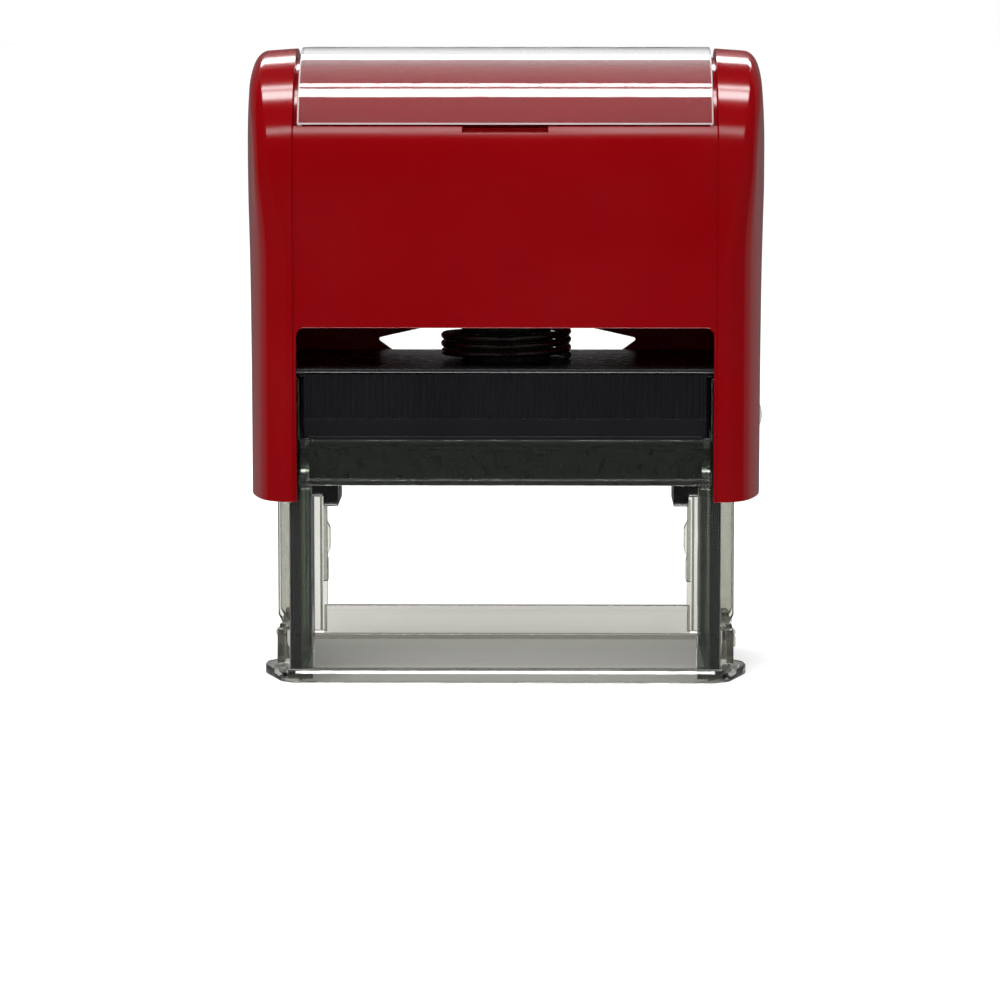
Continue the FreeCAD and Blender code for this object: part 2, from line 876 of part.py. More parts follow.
def make_rubber():
    """The rubber die: a base sheet with two border lines and a row of plain blocks in relief."""
    sheet = block(
        "rubber_sheet",
        symmetric(S["cushion_half_width"]),
        symmetric(S["rubber_half_depth"]),
        (S["cushion_top"], S["rubber_top"]),
    )
    relief = (S["rubber_top"], S["relief_top"])
    line = block(
        "relief_line",
        symmetric(S["relief_half_width"]),
        (S["relief_half_depth"] - S["relief_line_depth"], S["relief_half_depth"]),
        relief,
    )
    blocks = []
    for index in (-2, -1, 0, 1, 2):
        centre = index * S["relief_block_pitch"]
        blocks.append(block(
            f"relief_block_{index + 2}",
            (centre - S["relief_block_width"] / 2, centre + S["relief_block_width"] / 2),
            symmetric(S["relief_block_half_depth"]),
            relief,
        ))
    return fuse("rubber_die", sheet, *both_sides("relief_line", line, (0, 1, 0)), *blocks)


# ---------------------------------------------------------------- drive bow

def make_bow():
    """The black bow inside the cap: a spring seat plate with an arm down to each pivot pin."""
    plate = block(
        "bow_plate",
        symmetric(S["arm_outer_x"]),
        symmetric(S["bow_plate_half_depth"]),
        (S["bow_plate_bottom"], S["bow_plate_top"]),
    )
    rib = block(
        "bow_rib",
        symmetric(S["arm_outer_x"]),
        symmetric(S["bow_rib_half_depth"]),
        (S["bow_plate_top"], S["bow_rib_top"]),
    )
    seat = rod(
        "spring_seat",
        "z",
        (0, 0),
        S["spring_seat_bottom"],
        S["bow_plate_bottom"],
        S["spring_seat_radius"],
    )
    seat_bore = rod(
        "spring_seat_bore",
        "z",
        (0, 0),
        S["spring_seat_bottom"],
        S["bow_plate_bottom"],
        S["spring_seat_inner_radius"],
    )
    arm_x = (S["arm_inner_x"], S["arm_outer_x"])
    arm = block(
        "arm_leg", arm_x, symmetric(S["arm_half_depth"]), (S["pivot_height"], S["bow_plate_bottom"])
    )
    foot = rod("arm_foot", "x", (0, S["pivot_height"]), *arm_x, S["arm_half_depth"])
    flare = block(
        "arm_flare",
        arm_x,
        symmetric(S["arm_flare_half_depth"]),
        (S["arm_flare_bottom"], S["bow_plate_bottom"]),
    )
    bearing = rod(
        "arm_bearing",
        "x",
        (0, S["pivot_height"]),
        S["arm_inner_x"] - MARGIN,
        S["arm_outer_x"] + MARGIN,
        S["pivot_pin_radius"] + S["running_gap"],
    )
    lock_way = rod(
        "lock_way",
        "x",
        (0, S["lock_height"]),
        S["arm_inner_x"] - MARGIN,
        S["arm_outer_x"] + MARGIN,
        S["lock_collar_radius"] + S["lock_collar_clearance"],
    )
    bored_arm = cut("bow_arm", fuse("bow_arm_solid", arm, foot, flare), bearing, lock_way)
    ring = cut("spring_seat_ring", seat, seat_bore)
    return fuse("drive_bow", plate, rib, ring, *both_sides("bow_arm", bored_arm))


# ---------------------------------------------------------------- cap casing

def make_case_blank():
    """The casing's outer form: what its side, front and plan outlines share."""
    reach = S["case_half_width"] + MARGIN
    body = block(
        "case_profile_low",
        symmetric(reach),
        symmetric(S["case_half_depth"]),
        (S["case_floor"], S["arch_centre"]),
    )
    arch = rod("case_arch", "x", (0, S["arch_centre"]), -reach, reach, S["case_half_depth"])
    profile = fuse("case_profile", body, arch)
    top = S["arch_centre"] + S["case_half_depth"]
    front = prism(
        "case_front",
        "XZ_Plane",
        reflected([
            (S["case_foot_half_width"], S["case_floor"], None),
            (S["case_half_width"], S["shoulder_height"], S["upper_side_radius"]),
            (S["upper_corner_half_width"], S["upper_corner_height"], S["top_corner_radius"]),
            (S["top_edge_half_width"], top - S["top_edge_drop"], None),
            (S["window_half_width"], top, None),
        ]),
        *symmetric(S["case_half_depth"]),
    )
    plan = prism(
        "case_plan",
        "XY_Plane",
        reflected([
            (S["front_flat_half_width"], -S["case_half_depth"], S["cheek_corner_radius"]),
            (S["cheek_blend_x"], -S["cheek_blend_y"], S["cheek_side_radius"]),
            (S["case_half_width"], 0, S["cheek_side_radius"]),
            (S["cheek_blend_x"], S["cheek_blend_y"], S["cheek_corner_radius"]),
            (S["front_flat_half_width"], S["case_half_depth"], None),
        ]),
        S["case_floor"],
        top,
    )
    return common("case_blank", profile, front, plan)


def make_case_hollow():
    """The room inside the casing, open at the bottom."""
    outer_x = S["case_cavity_half_width"]
    low = block(
        "hollow_low",
        symmetric(outer_x),
        symmetric(S["case_cavity_half_depth"]),
        (S["case_floor"] - MARGIN, S["arch_centre"]),
    )
    arch = rod("hollow_arch", "x", (0, S["arch_centre"]), -outer_x, outer_x, S["roof_radius"])
    height = (S["case_floor"] - MARGIN, S["arch_centre"] + S["roof_radius"])
    middle = block(
        "hollow_middle",
        symmetric(S["case_cavity_corner_half_width"]),
        symmetric(S["case_cavity_half_depth"]),
        height,
    )
    side = block("hollow_side", symmetric(outer_x), symmetric(S["case_cavity_side_half_depth"]), height)
    return common("case_hollow", fuse("hollow_profile", low, arch), fuse("hollow_plan", middle, side))


def ring_sector(name, outer_radius, inner_radius, half_width, edge_angle):
    """A slice of a tube about the arch centre, above a plane set by the edge's angle."""
    outer = rod(f"{name}_outer", "x", (0, S["arch_centre"]), -half_width, half_width, outer_radius)
    inner = rod(f"{name}_inner", "x", (0, S["arch_centre"]), -half_width, half_width, inner_radius)
    above = block(
        f"{name}_above",
        symmetric(half_width),
        symmetric(outer_radius),
        (S["arch_centre"] + inner_radius * sine(edge_angle), S["arch_centre"] + outer_radius),
    )
    return common(f"{name}_sector", cut(f"{name}_ring", outer, inner), above)


def window_bead_centre():
    """The hinge bead's axis, at the window's rear lower edge."""
    radius = S["window_outer_radius"] - S["window_thickness"] / 2
    return (
        radius * cosine(S["window_edge_angle"]),
        S["arch_centre"] + radius * sine(S["window_edge_angle"]),
    )


def make_case_cutouts():
    """The openings and recesses in the casing's front, rear and top."""
    half_width = S["cutout_half_width"]
    corner = S["cutout_corner_radius"]
    front = prism(
        "front_cutout",
        "XZ_Plane",
        reflected([
            (half_width, S["case_floor"] - MARGIN, None),
            (half_width, S["cutout_top"] - corner, corner),
            (half_width - corner, S["cutout_top"], None),
        ]),
        -S["case_half_depth"] - MARGIN,
        -S["case_cavity_half_depth"] + MARGIN,
    )
    rear = prism(
        "rear_cutout",
        "XZ_Plane",
        reflected([
            (half_width, S["case_floor"] - MARGIN, None),
            (half_width, S["rear_cutout_top"] - corner, corner),
            (half_width - corner, S["rear_cutout_top"], None),
        ]),
        S["case_cavity_half_depth"] - MARGIN,
        S["case_half_depth"] + MARGIN,
    )
    slot = prism(
        "rear_slot",
        "XZ_Plane",
        reflected([
            (S["rear_slot_foot_half_width"], S["rear_slot_floor"], None),
            (S["rear_slot_half_width"], S["rear_slot_end_height"], None),
            (S["rear_slot_top_half_width"], S["rear_slot_top"], None),
        ]),
        S["case_cavity_half_depth"] - MARGIN,
        S["case_half_depth"] + MARGIN,
    )
    recess_width = S["window_half_width"] + S["window_side_gap"]
    panel_skin = block(
        "rear_panel_skin",
        symmetric(recess_width),
        (S["case_half_depth"] - S["panel_recess"], S["case_half_depth"] + MARGIN),
        (S["case_floor"] - MARGIN, S["arch_centre"]),
    )
    panel_skins = both_sides("rear_panel_skin", panel_skin, (0, 1, 0))
    panel_arch = ring_sector(
        "panel_arch",
        S["case_half_depth"] + MARGIN,
        S["case_half_depth"] - S["panel_recess"],
        recess_width,
        as_size(0),
    )
    window_floor = ring_sector(
        "window_recess",
        S["case_half_depth"] + MARGIN,
        S["window_outer_radius"] - S["window_thickness"] - S["window_gap"],
        recess_width,
        S["window_edge_angle"],
    )
    bead_y, bead_z = window_bead_centre()
    groove = rod(
        "bead_groove",
        "x",
        (bead_y, bead_z),
        -recess_width,
        recess_width,
        S["window_bead_radius"] + S["running_gap"],
    )
    notch_top = S["arch_centre"] + S["case_half_depth"] * sine(S["window_edge_angle"])
    notch_front = -S["case_half_depth"] * cosine(S["window_edge_angle"])
    notch = block(
        "nail_notch",
        symmetric(S["nail_notch_half_width"]),
        (-S["case_half_depth"], notch_front + S["nail_notch_depth"]),
        (notch_top - S["nail_notch_height"], notch_top),
    )
    lock_bore = rod(
        "lock_bore",
        "x",
        (0, S["lock_height"]),
        S["lock_bore_floor_x"],
        S["case_half_width"] + MARGIN,
        S["lock_bore_radius"],
    )
    lock_passage = rod(
        "lock_passage",
        "x",
        (0, S["lock_height"]),
        S["case_cavity_half_width"] - MARGIN,
        S["lock_bore_floor_x"] + MARGIN,
        S["lock_stem_radius"] + 2 * S["running_gap"],
    )
    openings = [front, rear, slot, notch, lock_bore, lock_passage]
    return openings + panel_skins + [panel_arch, window_floor, groove]


def make_case():
    """The red cap casing."""
    shell = cut("case_shell_blank", make_case_blank(), make_case_hollow())
    return cut("case_shell", shell, *make_case_cutouts())


def make_window():
    """The clear index window over the top, hinged on a bead along its rear lower edge."""
    sheet = ring_sector(
        "window",
        S["window_outer_radius"],
        S["window_outer_radius"] - S["window_thickness"],
        S["window_half_width"],
        S["window_edge_angle"] + S["window_end_gap_angle"],
    )
    bead_y, bead_z = window_bead_centre()
    bead = rod(
        "window_bead",
        "x",
        (bead_y, bead_z),
        -S["window_half_width"],
        S["window_half_width"],
        S["window_bead_radius"],
    )
    return fuse("index_window", sheet, bead)


# ---------------------------------------------------------------- lock and springs

def make_lock_button():
    """The domed catch in the right cheek, with a stem that reaches the frame's lock hole."""
    tip = S["lock_stem_tip_x"]
    stem = S["lock_stem_radius"]
    head = S["lock_head_radius"]
    return turned(
        "lock_button",
        [
            (0, 0, None),
            (S["lock_head_outer_x"] - tip, 0, S["lock_dome_radius"]),
            (S["lock_head_rim_x"] - tip, head - S["lock_rim_bevel"], None),
            (S["lock_head_rim_x"] - S["lock_rim_bevel"] - tip, head, None),
            (S["lock_head_inner_x"] - tip, head, None),
            (S["lock_head_inner_x"] - tip, stem, None),
            (S["lock_collar_outer_x"] - tip, stem, None),
            (S["lock_collar_outer_x"] - tip, S["lock_collar_radius"], None),
            (S["lock_collar_inner_x"] - tip, stem, None),
            (0, stem, None),
        ],
        S["lock_height"],
        tip,
    )


def make_lock_spring():
    """The small spring under the lock button's head."""
    wire = S["lock_spring_wire_radius"]
    low = S["lock_bore_floor_x"] + wire
    high = S["lock_head_inner_x"] - wire
    spring = coil("lock_spring", S["lock_spring_radius"], wire, S["lock_spring_turns"], high - low)
    spring.Placement = FreeCAD.Placement(FreeCAD.Vector(), FreeCAD.Rotation(FreeCAD.Vector(0, 1, 0), 90))
    bind(spring, "Placement.Base.x", low)
    bind(spring, "Placement.Base.z", S["lock_height"])
    return spring


def make_return_spring():
    """The return spring, from the bridge to its seat under the bow."""
    wire = S["spring_wire_radius"]
    low = S["bridge_top"] + wire
    high = S["bow_plate_bottom"] - wire
    spring = coil("return_spring", S["spring_radius"], wire, S["spring_turns"], high - low)
    bind(spring, "Placement.Base.z", low)
    return spring


# ---------------------------------------------------------------- assembly and export

def make_nodes():
    """Every separate piece of the stamp."""
    return [
        make_base(),
        make_side_frame(),
        make_bridge(),
        make_cartridge(),
        *make_pad(),
        make_return_spring(),
        make_case(),
        make_bow(),
        make_window(),
        make_lock_button(),
        make_lock_spring(),
        make_carrier(),
        *make_pins(),
        make_cushion(),
        make_rubber(),
    ]


def check_document(nodes):
    """Stop if any object failed to build or any piece is not one or more sound solids."""
    for item in doc.Objects:
        for state in item.State:
            if state in ("Invalid", "Error"):
                raise RuntimeError(f"{item.Name} is {state}")
    for node in nodes:
        if node.Shape.isNull() or not node.Shape.isValid() or not node.Shape.Solids:
            raise RuntimeError(f"{node.Label} has no valid solid")


def export(nodes):
    """Write one STEP file for each piece."""
    os.makedirs("parts", exist_ok=True)
    for node in nodes:
        node.Shape.exportStep(f"parts/{node.Label}.step")
        print(node.Label, len(node.Shape.Solids), round(node.Shape.Volume, 1))


stamp_nodes = make_nodes()
doc.recompute()
check_document(stamp_nodes)
export(stamp_nodes)
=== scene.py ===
import math

import bmesh
import bpy
from mathutils import Matrix, Vector


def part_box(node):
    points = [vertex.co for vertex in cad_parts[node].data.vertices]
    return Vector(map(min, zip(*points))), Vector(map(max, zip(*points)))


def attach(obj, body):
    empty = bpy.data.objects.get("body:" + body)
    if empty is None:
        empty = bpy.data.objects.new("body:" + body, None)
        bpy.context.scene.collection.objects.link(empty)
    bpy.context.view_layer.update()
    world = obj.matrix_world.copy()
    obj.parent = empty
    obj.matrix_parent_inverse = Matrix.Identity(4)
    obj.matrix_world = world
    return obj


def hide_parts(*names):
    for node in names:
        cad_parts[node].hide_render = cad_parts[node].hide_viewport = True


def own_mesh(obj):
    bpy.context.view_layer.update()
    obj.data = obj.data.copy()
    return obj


# A self-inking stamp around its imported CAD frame. The shapes are built in millimetres in the
# object's frame, X across, Y to the back, Z up, and are brought to metres as each piece is finished.

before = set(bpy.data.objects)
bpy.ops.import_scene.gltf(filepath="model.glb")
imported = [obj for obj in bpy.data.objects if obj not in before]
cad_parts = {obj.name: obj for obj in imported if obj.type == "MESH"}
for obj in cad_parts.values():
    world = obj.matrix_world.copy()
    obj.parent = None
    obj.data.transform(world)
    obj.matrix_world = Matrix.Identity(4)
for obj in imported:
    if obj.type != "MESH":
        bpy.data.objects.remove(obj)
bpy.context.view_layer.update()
MM = 0.001

# Places that several pieces share, in millimetres.
TRAVEL = 24.0
PIVOT_Z = 30.5
GUIDE_Z = 26.5
CATCH_Z = 36.8
WALL_X = (29.3, 30.8)
CLIP_Y = (6.5, 10.5)
WELD = 0.002


def span(node):
    """A CAD node's lowest and highest corners, in millimetres."""
    low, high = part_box(node)
    return low / MM, high / MM


# ---------------------------------------------------------------- outlines

def arc(centre, radius, start, end, steps):
    """Points along an arc, in degrees from the first axis towards the second."""
    points = []
    for step in range(steps + 1):
        angle = math.radians(start + (end - start) * step / steps)
        points.append((centre[0] + radius * math.cos(angle), centre[1] + radius * math.sin(angle)))
    return points


def rounded(corners, steps=6):
    """An outline from (u, v, radius) corners, each rounded to its radius."""
    outline = []
    count = len(corners)
    for index, (u, v, radius) in enumerate(corners):
        here = Vector((u, v))
        if not radius:
            outline.append((u, v))
            continue
        before = (Vector(corners[index - 1][:2]) - here).normalized()
        after = (Vector(corners[(index + 1) % count][:2]) - here).normalized()
        half = before.angle(after) / 2
        reach = radius / math.tan(half)
        centre = here + (before + after).normalized() * (radius / math.sin(half))
        start = here + before * reach - centre
        sweep = (here + after * reach - centre).angle_signed(start)
        first = math.atan2(start.y, start.x)
        for step in range(steps + 1):
            angle = first + sweep * step / steps
            outline.append((centre.x + radius * math.cos(angle), centre.y + radius * math.sin(angle)))
    return outline


def rectangle(u, v, radius=0.0):
    """A rectangle's outline between (low, high) pairs."""
    corners = [(u[0], v[0]), (u[1], v[0]), (u[1], v[1]), (u[0], v[1])]
    return rounded([(a, b, radius) for a, b in corners])


def both(half):
    """A span that is the same on either side of zero."""
    return (-half, half)


def beside(side, near, far):
    """A span from near to far on one side of zero, which is -1 or 1, with its lower end first."""
    return sorted((side * near, side * far))


# ---------------------------------------------------------------- solids

def solid(name, points, faces):
    """A closed mesh object, welded, with its faces turned outwards."""
    mesh = bpy.data.meshes.new(name)
    mesh.from_pydata(points, [], faces)
    work = bmesh.new()
    work.from_mesh(mesh)
    bmesh.ops.remove_doubles(work, verts=work.verts, dist=0.0005)
    bmesh.ops.recalc_face_normals(work, faces=work.faces)
    work.to_mesh(mesh)
    work.free()
    piece = bpy.data.objects.new(name, mesh)
    bpy.context.scene.collection.objects.link(piece)
    return piece


PLACE = {
    "x": lambda u, v, w: (w, u, v),
    "y": lambda u, v, w: (u, w, v),
    "z": lambda u, v, w: (u, v, w),
}


def prism(name, along, outline, low, high):
    """An outline in the other two axes, drawn out along one axis."""
    place = PLACE[along]
    count = len(outline)
    points = [place(u, v, w) for w in (low, high) for u, v in outline]
    faces = [tuple(range(count)), tuple(range(count, 2 * count))]
    for index in range(count):
        following = (index + 1) % count
        faces.append((index, following, following + count, index + count))
    return solid(name, points, faces)


def block(name, x, y, z):
    """A plain block, to be fused with or cut from another solid."""
    return prism(name, "z", rectangle(x, y), *z)


def rod(name, along, centre, low, high, radius, steps=48):
    """A round bar along one axis."""
    return prism(name, along, arc(centre, radius, 0, 360, steps)[:-1], low, high)


def lathe(name, profile, centre, steps=64):
    """A solid turned about an axis parallel to X through centre, from (x, radius) points."""
    points, faces = [], []
    rows = len(profile)
    for step in range(steps):
        angle = 2 * math.pi * step / steps
        for x, radius in profile:
            points.append((x, centre[0] + radius * math.cos(angle), centre[1] + radius * math.sin(angle)))
    for step in range(steps):
        here, following = step * rows, (step + 1) % steps * rows
        for row in range(rows - 1):
            faces.append((here + row, here + row + 1, following + row + 1, following + row))
    return solid(name, points, faces)


def sweep(name, path, radius, sides=14):
    """A round wire along a path of points."""
    points, faces = [], []
    for index, here in enumerate(path):
        ahead = path[min(index + 1, len(path) - 1)] - path[max(index - 1, 0)]
        ahead.normalize()
        across = ahead.cross(Vector((0, 0, 1))).normalized()
        up = across.cross(ahead)
        for side in range(sides):
            angle = 2 * math.pi * side / sides
            points.append(tuple(here + radius * (across * math.cos(angle) + up * math.sin(angle))))
    for index in range(len(path) - 1):
        for side in range(sides):
            following = (side + 1) % sides
            first = index * sides
            faces.append((first + side, first + following, first + sides + following, first + sides + side))
    last = (len(path) - 1) * sides
    faces.append(tuple(range(sides)))
    faces.append(tuple(range(last, last + sides)))
    return solid(name, points, faces)


def combine(operation, target, *tools):
    """Fuse tools with a solid, or cut them from it."""
    for tool in tools:
        step = target.modifiers.new("combine", "BOOLEAN")
        step.operation = operation
        step.solver = "EXACT"
        step.object = tool
    mesh = bpy.data.meshes.new_from_object(target.evaluated_get(bpy.context.evaluated_depsgraph_get()))
    target.modifiers.clear()
    target.data = mesh
    for tool in tools:
        bpy.data.objects.remove(tool)
    work = bmesh.new()
    work.from_mesh(mesh)
    bmesh.ops.remove_doubles(work, verts=work.verts, dist=WELD)
    bmesh.ops.dissolve_degenerate(work, edges=work.edges, dist=WELD)
    bmesh.ops.dissolve_limit(
        work, angle_limit=math.radians(0.4), verts=work.verts, edges=work.edges, delimit=set()
    )
    work.to_mesh(mesh)
    work.free()
    return target


def fuse(target, *tools):
    return combine("UNION", target, *tools)


def cut(target, *tools):
    return combine("DIFFERENCE", target, *tools)


def soften(piece, width, chosen=lambda start, end: True, segments=3):
    """Round a solid's sharp edges before it is fused, where the test picks them."""
    work = bmesh.new()
    work.from_mesh(piece.data)
    edges = [
        edge for edge in work.edges
        if edge.calc_face_angle(0) > math.radians(40) and chosen(edge.verts[0].co, edge.verts[1].co)
    ]
    bmesh.ops.bevel(
        work, geom=edges, offset=width, segments=segments, profile=0.5, affect="EDGES", clamp_overlap=True
    )
    work.to_mesh(piece.data)
    work.free()
    return piece


def split_faces(piece):
    """Cut a solid's many-sided faces into triangles, which keep their shape as edges are rounded."""
    work = bmesh.new()
    work.from_mesh(piece.data)
    many = [face for face in work.faces if len(face.verts) > 4]
    bmesh.ops.triangulate(work, faces=many, quad_method="BEAUTY", ngon_method="BEAUTY")
    work.to_mesh(piece.data)
    work.free()


def bevel(piece, width):
    """Round a solid's sharp edges. The width is in millimetres."""
    step = piece.modifiers.new("edge_radius", "BEVEL")
    step.width = width * MM
    step.segments = 2
    step.limit_method = "ANGLE"
    step.angle_limit = math.radians(30)
    step.use_clamp_overlap = False
    step.harden_normals = True
    step.miter_outer = "MITER_ARC"
    return step


def finish_piece(piece, body, look, node=None, edge=None, name=None, edge_look=None):
    """Bring a solid to metres, give it its material and tie it to its CAD body and node.

    With edge, its sharp edges are rounded to that width, and edge_look is the rounding's material: where
    given, a lighter copy that paints a highlight along the edges.
    """
    if name:
        piece.name = name
        piece.data.name = name
    piece.data.transform(Matrix.Scale(MM, 4))
    piece.data.materials.clear()
    piece.data.materials.append(look)
    piece.data.polygons.foreach_set("use_smooth", [True] * len(piece.data.polygons))
    if edge:
        rounding = bevel(piece, edge)
        if edge_look:
            piece.data.materials.append(edge_look)
            rounding.material = 1
    else:
        piece.data.set_sharp_from_angle(angle=math.radians(38))
    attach(piece, body)
    if node:
        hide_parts(node)
    return piece


# ---------------------------------------------------------------- materials

def add(tree, kind, settings=None, **inputs):
    """A shader node with its inputs set or linked."""
    node = tree.nodes.new(kind)
    for key, value in (settings or {}).items():
        setattr(node, key, value)
    for key, value in inputs.items():
        socket = node.inputs[int(key[1:])] if key[0] == "_" else node.inputs[key.replace("_", " ")]
        if isinstance(value, bpy.types.NodeSocket):
            tree.links.new(value, socket)
        else:
            socket.default_value = value
    return node


def object_position(tree, stretch=(1, 1, 1)):
    """The point's place on the object, in metres, stretched for directional grain."""
    where = add(tree, "ShaderNodeTexCoord").outputs["Object"]
    return add(tree, "ShaderNodeMapping", Vector=where, Scale=stretch).outputs["Vector"]


def mapped(tree, value, start, end, low=0.0, high=1.0):
    """A value brought from one range to another, and held within it."""
    spread = add(
        tree, "ShaderNodeMapRange", Value=value, From_Min=start, From_Max=end, To_Min=low, To_Max=high
    )
    return spread.outputs["Result"]


def reckoned(tree, operation, *values):
    """A sum on one or two values."""
    inputs = {f"_{index}": value for index, value in enumerate(values)}
    return add(tree, "ShaderNodeMath", {"operation": operation}, **inputs).outputs[0]


def grey(tree, value):
    """A value as a grey colour."""
    return add(tree, "ShaderNodeCombineColor", Red=value, Green=value, Blue=value).outputs["Color"]


def shaded(tree, colour, value):
    """A colour made lighter or darker by a value."""
    base = add(tree, "ShaderNodeMix", {"data_type": "RGBA", "blend_type": "MULTIPLY"})
    base.inputs["Factor"].default_value = 1.0
    base.inputs[6].default_value = (*colour, 1)
    tree.links.new(grey(tree, value), base.inputs[7])
    return base.outputs[2]


def varied(tree, vector, scale, low, high, detail=3.0):
    """A value that wanders between two limits with a noise of that scale, and the noise itself."""
    noise = add(tree, "ShaderNodeTexNoise", Vector=vector, Scale=scale, Detail=detail).outputs["Fac"]
    return mapped(tree, noise, 0.3, 0.7, low, high), noise


def blank(name):
    """A material with an empty node tree."""
    look = bpy.data.materials.new(name)
    look.use_nodes = True
    look.node_tree.nodes.clear()
    return look, look.node_tree


# How deep a surface's fine grain and its slow waves are at full strength, in metres.
FINE_DEPTH = 0.00005
WAVE_DEPTH = 0.0004


def plastic(
    name, colour, roughness, grain=900.0, relief=0.02, tint=0.06, coat=0.0, waviness=0.0, specular=0.5
):
    """A moulded plastic: a slightly uneven colour, gloss and surface."""
    look, tree = blank(name)
    where = object_position(tree)
    wander, fine = varied(tree, where, grain, roughness * 0.8, roughness * 1.2)
    shade, _ = varied(tree, where, 90.0, 1 - tint, 1 + tint)
    bump = add(tree, "ShaderNodeBump", Strength=relief, Distance=FINE_DEPTH, Height=fine)
    normal = bump.outputs["Normal"]
    if waviness:
        slow = add(tree, "ShaderNodeTexNoise", Vector=where, Scale=70.0, Detail=1.0).outputs["Fac"]
        wave = add(
            tree, "ShaderNodeBump", Strength=waviness, Distance=WAVE_DEPTH, Height=slow, Normal=normal
        )
        normal = wave.outputs["Normal"]
    shader = add(
        tree, "ShaderNodeBsdfPrincipled", Base_Color=shaded(tree, colour, shade), Roughness=wander,
        Normal=normal, Coat_Weight=coat, Coat_Roughness=0.04, Specular_IOR_Level=specular,
    )
    add(tree, "ShaderNodeOutputMaterial", Surface=shader.outputs[0])
    return look


# Where the frame's legs give way to its beams, in metres above the floor.
BEAM_FOOT = (0.026, 0.029)


def clear_plastic(
    name, colour, absorb=None, roughness=0.03, waviness=0.03, shadow=(0.9, 0.9, 0.9), body=(0.0, 0.0)
):
    """A see-through moulding. Light for what is behind it passes straight through.

    absorb is the colour and the strength, per metre, of what the plastic takes from light inside it.
    body is how milky it is above and below the foot of the frame's beams, from 0 to 1.
    """
    look, tree = blank(name)
    where = object_position(tree)
    wander, _ = varied(tree, where, 500.0, roughness * 0.6, roughness * 1.4)
    slow = add(tree, "ShaderNodeTexNoise", Vector=where, Scale=110.0, Detail=1.0).outputs["Fac"]
    bump = add(tree, "ShaderNodeBump", Strength=waviness, Distance=WAVE_DEPTH, Height=slow)
    height = add(tree, "ShaderNodeSeparateXYZ", Vector=where).outputs["Z"]
    shader = add(
        tree, "ShaderNodeBsdfPrincipled", Base_Color=(*colour, 1), Roughness=wander, IOR=1.49,
        Transmission_Weight=mapped(tree, height, *BEAM_FOOT, 1 - body[1], 1 - body[0]),
        Normal=bump.outputs["Normal"],
    )
    through = add(tree, "ShaderNodeBsdfTransparent", Color=(*shadow, 1))
    path = add(tree, "ShaderNodeLightPath").outputs
    either = reckoned(tree, "MAXIMUM", path["Is Shadow Ray"], path["Is Diffuse Ray"])
    mix = add(tree, "ShaderNodeMixShader", _0=either, _1=shader.outputs[0], _2=through.outputs[0])
    out = add(tree, "ShaderNodeOutputMaterial", Surface=mix.outputs[0])
    if absorb:
        volume = add(tree, "ShaderNodeVolumeAbsorption", Color=(*absorb[0], 1), Density=absorb[1])
        tree.links.new(volume.outputs[0], out.inputs["Volume"])
    return look


def steel(name, colour, roughness, stretch):
    """Drawn or turned steel, with fine lines along the stretch."""
    look, tree = blank(name)
    where = object_position(tree, stretch)
    wander, fine = varied(tree, where, 2500.0, roughness * 0.7, roughness * 1.4, 4.0)
    bump = add(tree, "ShaderNodeBump", Strength=0.15, Distance=0.00002, Height=fine)
    shader = add(
        tree, "ShaderNodeBsdfPrincipled", Base_Color=(*colour, 1), Metallic=1.0, Roughness=wander,
        Normal=bump.outputs["Normal"],
    )
    add(tree, "ShaderNodeOutputMaterial", Surface=shader.outputs[0])
    return look


def cellular(name, colour, cell, depth, darker=0.45):
    """Foam or cell rubber: open cells a fraction of a millimetre wide, their hollows painted darker as shade.
    """
    look, tree = blank(name)
    where = object_position(tree)
    cells = add(tree, "ShaderNodeTexVoronoi", {"feature": "DISTANCE_TO_EDGE"}, Vector=where, Scale=cell)
    # The cell walls keep the full colour, and the cells' sunken middles are painted darker as shade, down to
    # the share darker.
    edge = mapped(tree, cells.outputs["Distance"], 0.0, 0.35, 1.0, darker)
    bump = add(tree, "ShaderNodeBump", Strength=0.6, Distance=depth, Height=edge)
    shader = add(
        tree, "ShaderNodeBsdfPrincipled", Base_Color=shaded(tree, colour, edge), Roughness=0.75,
        Normal=bump.outputs["Normal"], Sheen_Weight=0.15,
    )
    add(tree, "ShaderNodeOutputMaterial", Surface=shader.outputs[0])
    return look


def woven(name, colour, pitch):
    """A plain weave of that thread pitch, in metres, in the XY plane, with its low points painted darker as
    shade.
    """
    look, tree = blank(name)
    where = object_position(tree)
    parts = add(tree, "ShaderNodeSeparateXYZ", Vector=where)
    waves = [
        reckoned(tree, "SINE", reckoned(tree, "MULTIPLY", parts.outputs[axis], 2 * math.pi / pitch))
        for axis in ("X", "Y")
    ]
    weave = reckoned(tree, "MULTIPLY", *waves)
    # The weave's low points are painted darker as shade, and its raised crossings keep the full colour.
    tone = mapped(tree, weave, -1.0, 1.0, 0.55, 1.0)
    bump = add(tree, "ShaderNodeBump", Strength=0.5, Distance=0.0001, Height=weave)
    shader = add(
        tree, "ShaderNodeBsdfPrincipled", Base_Color=shaded(tree, colour, tone), Roughness=0.55,
        Normal=bump.outputs["Normal"], Sheen_Weight=0.3, Coat_Weight=0.15,
    )
    add(tree, "ShaderNodeOutputMaterial", Surface=shader.outputs[0])
    return look


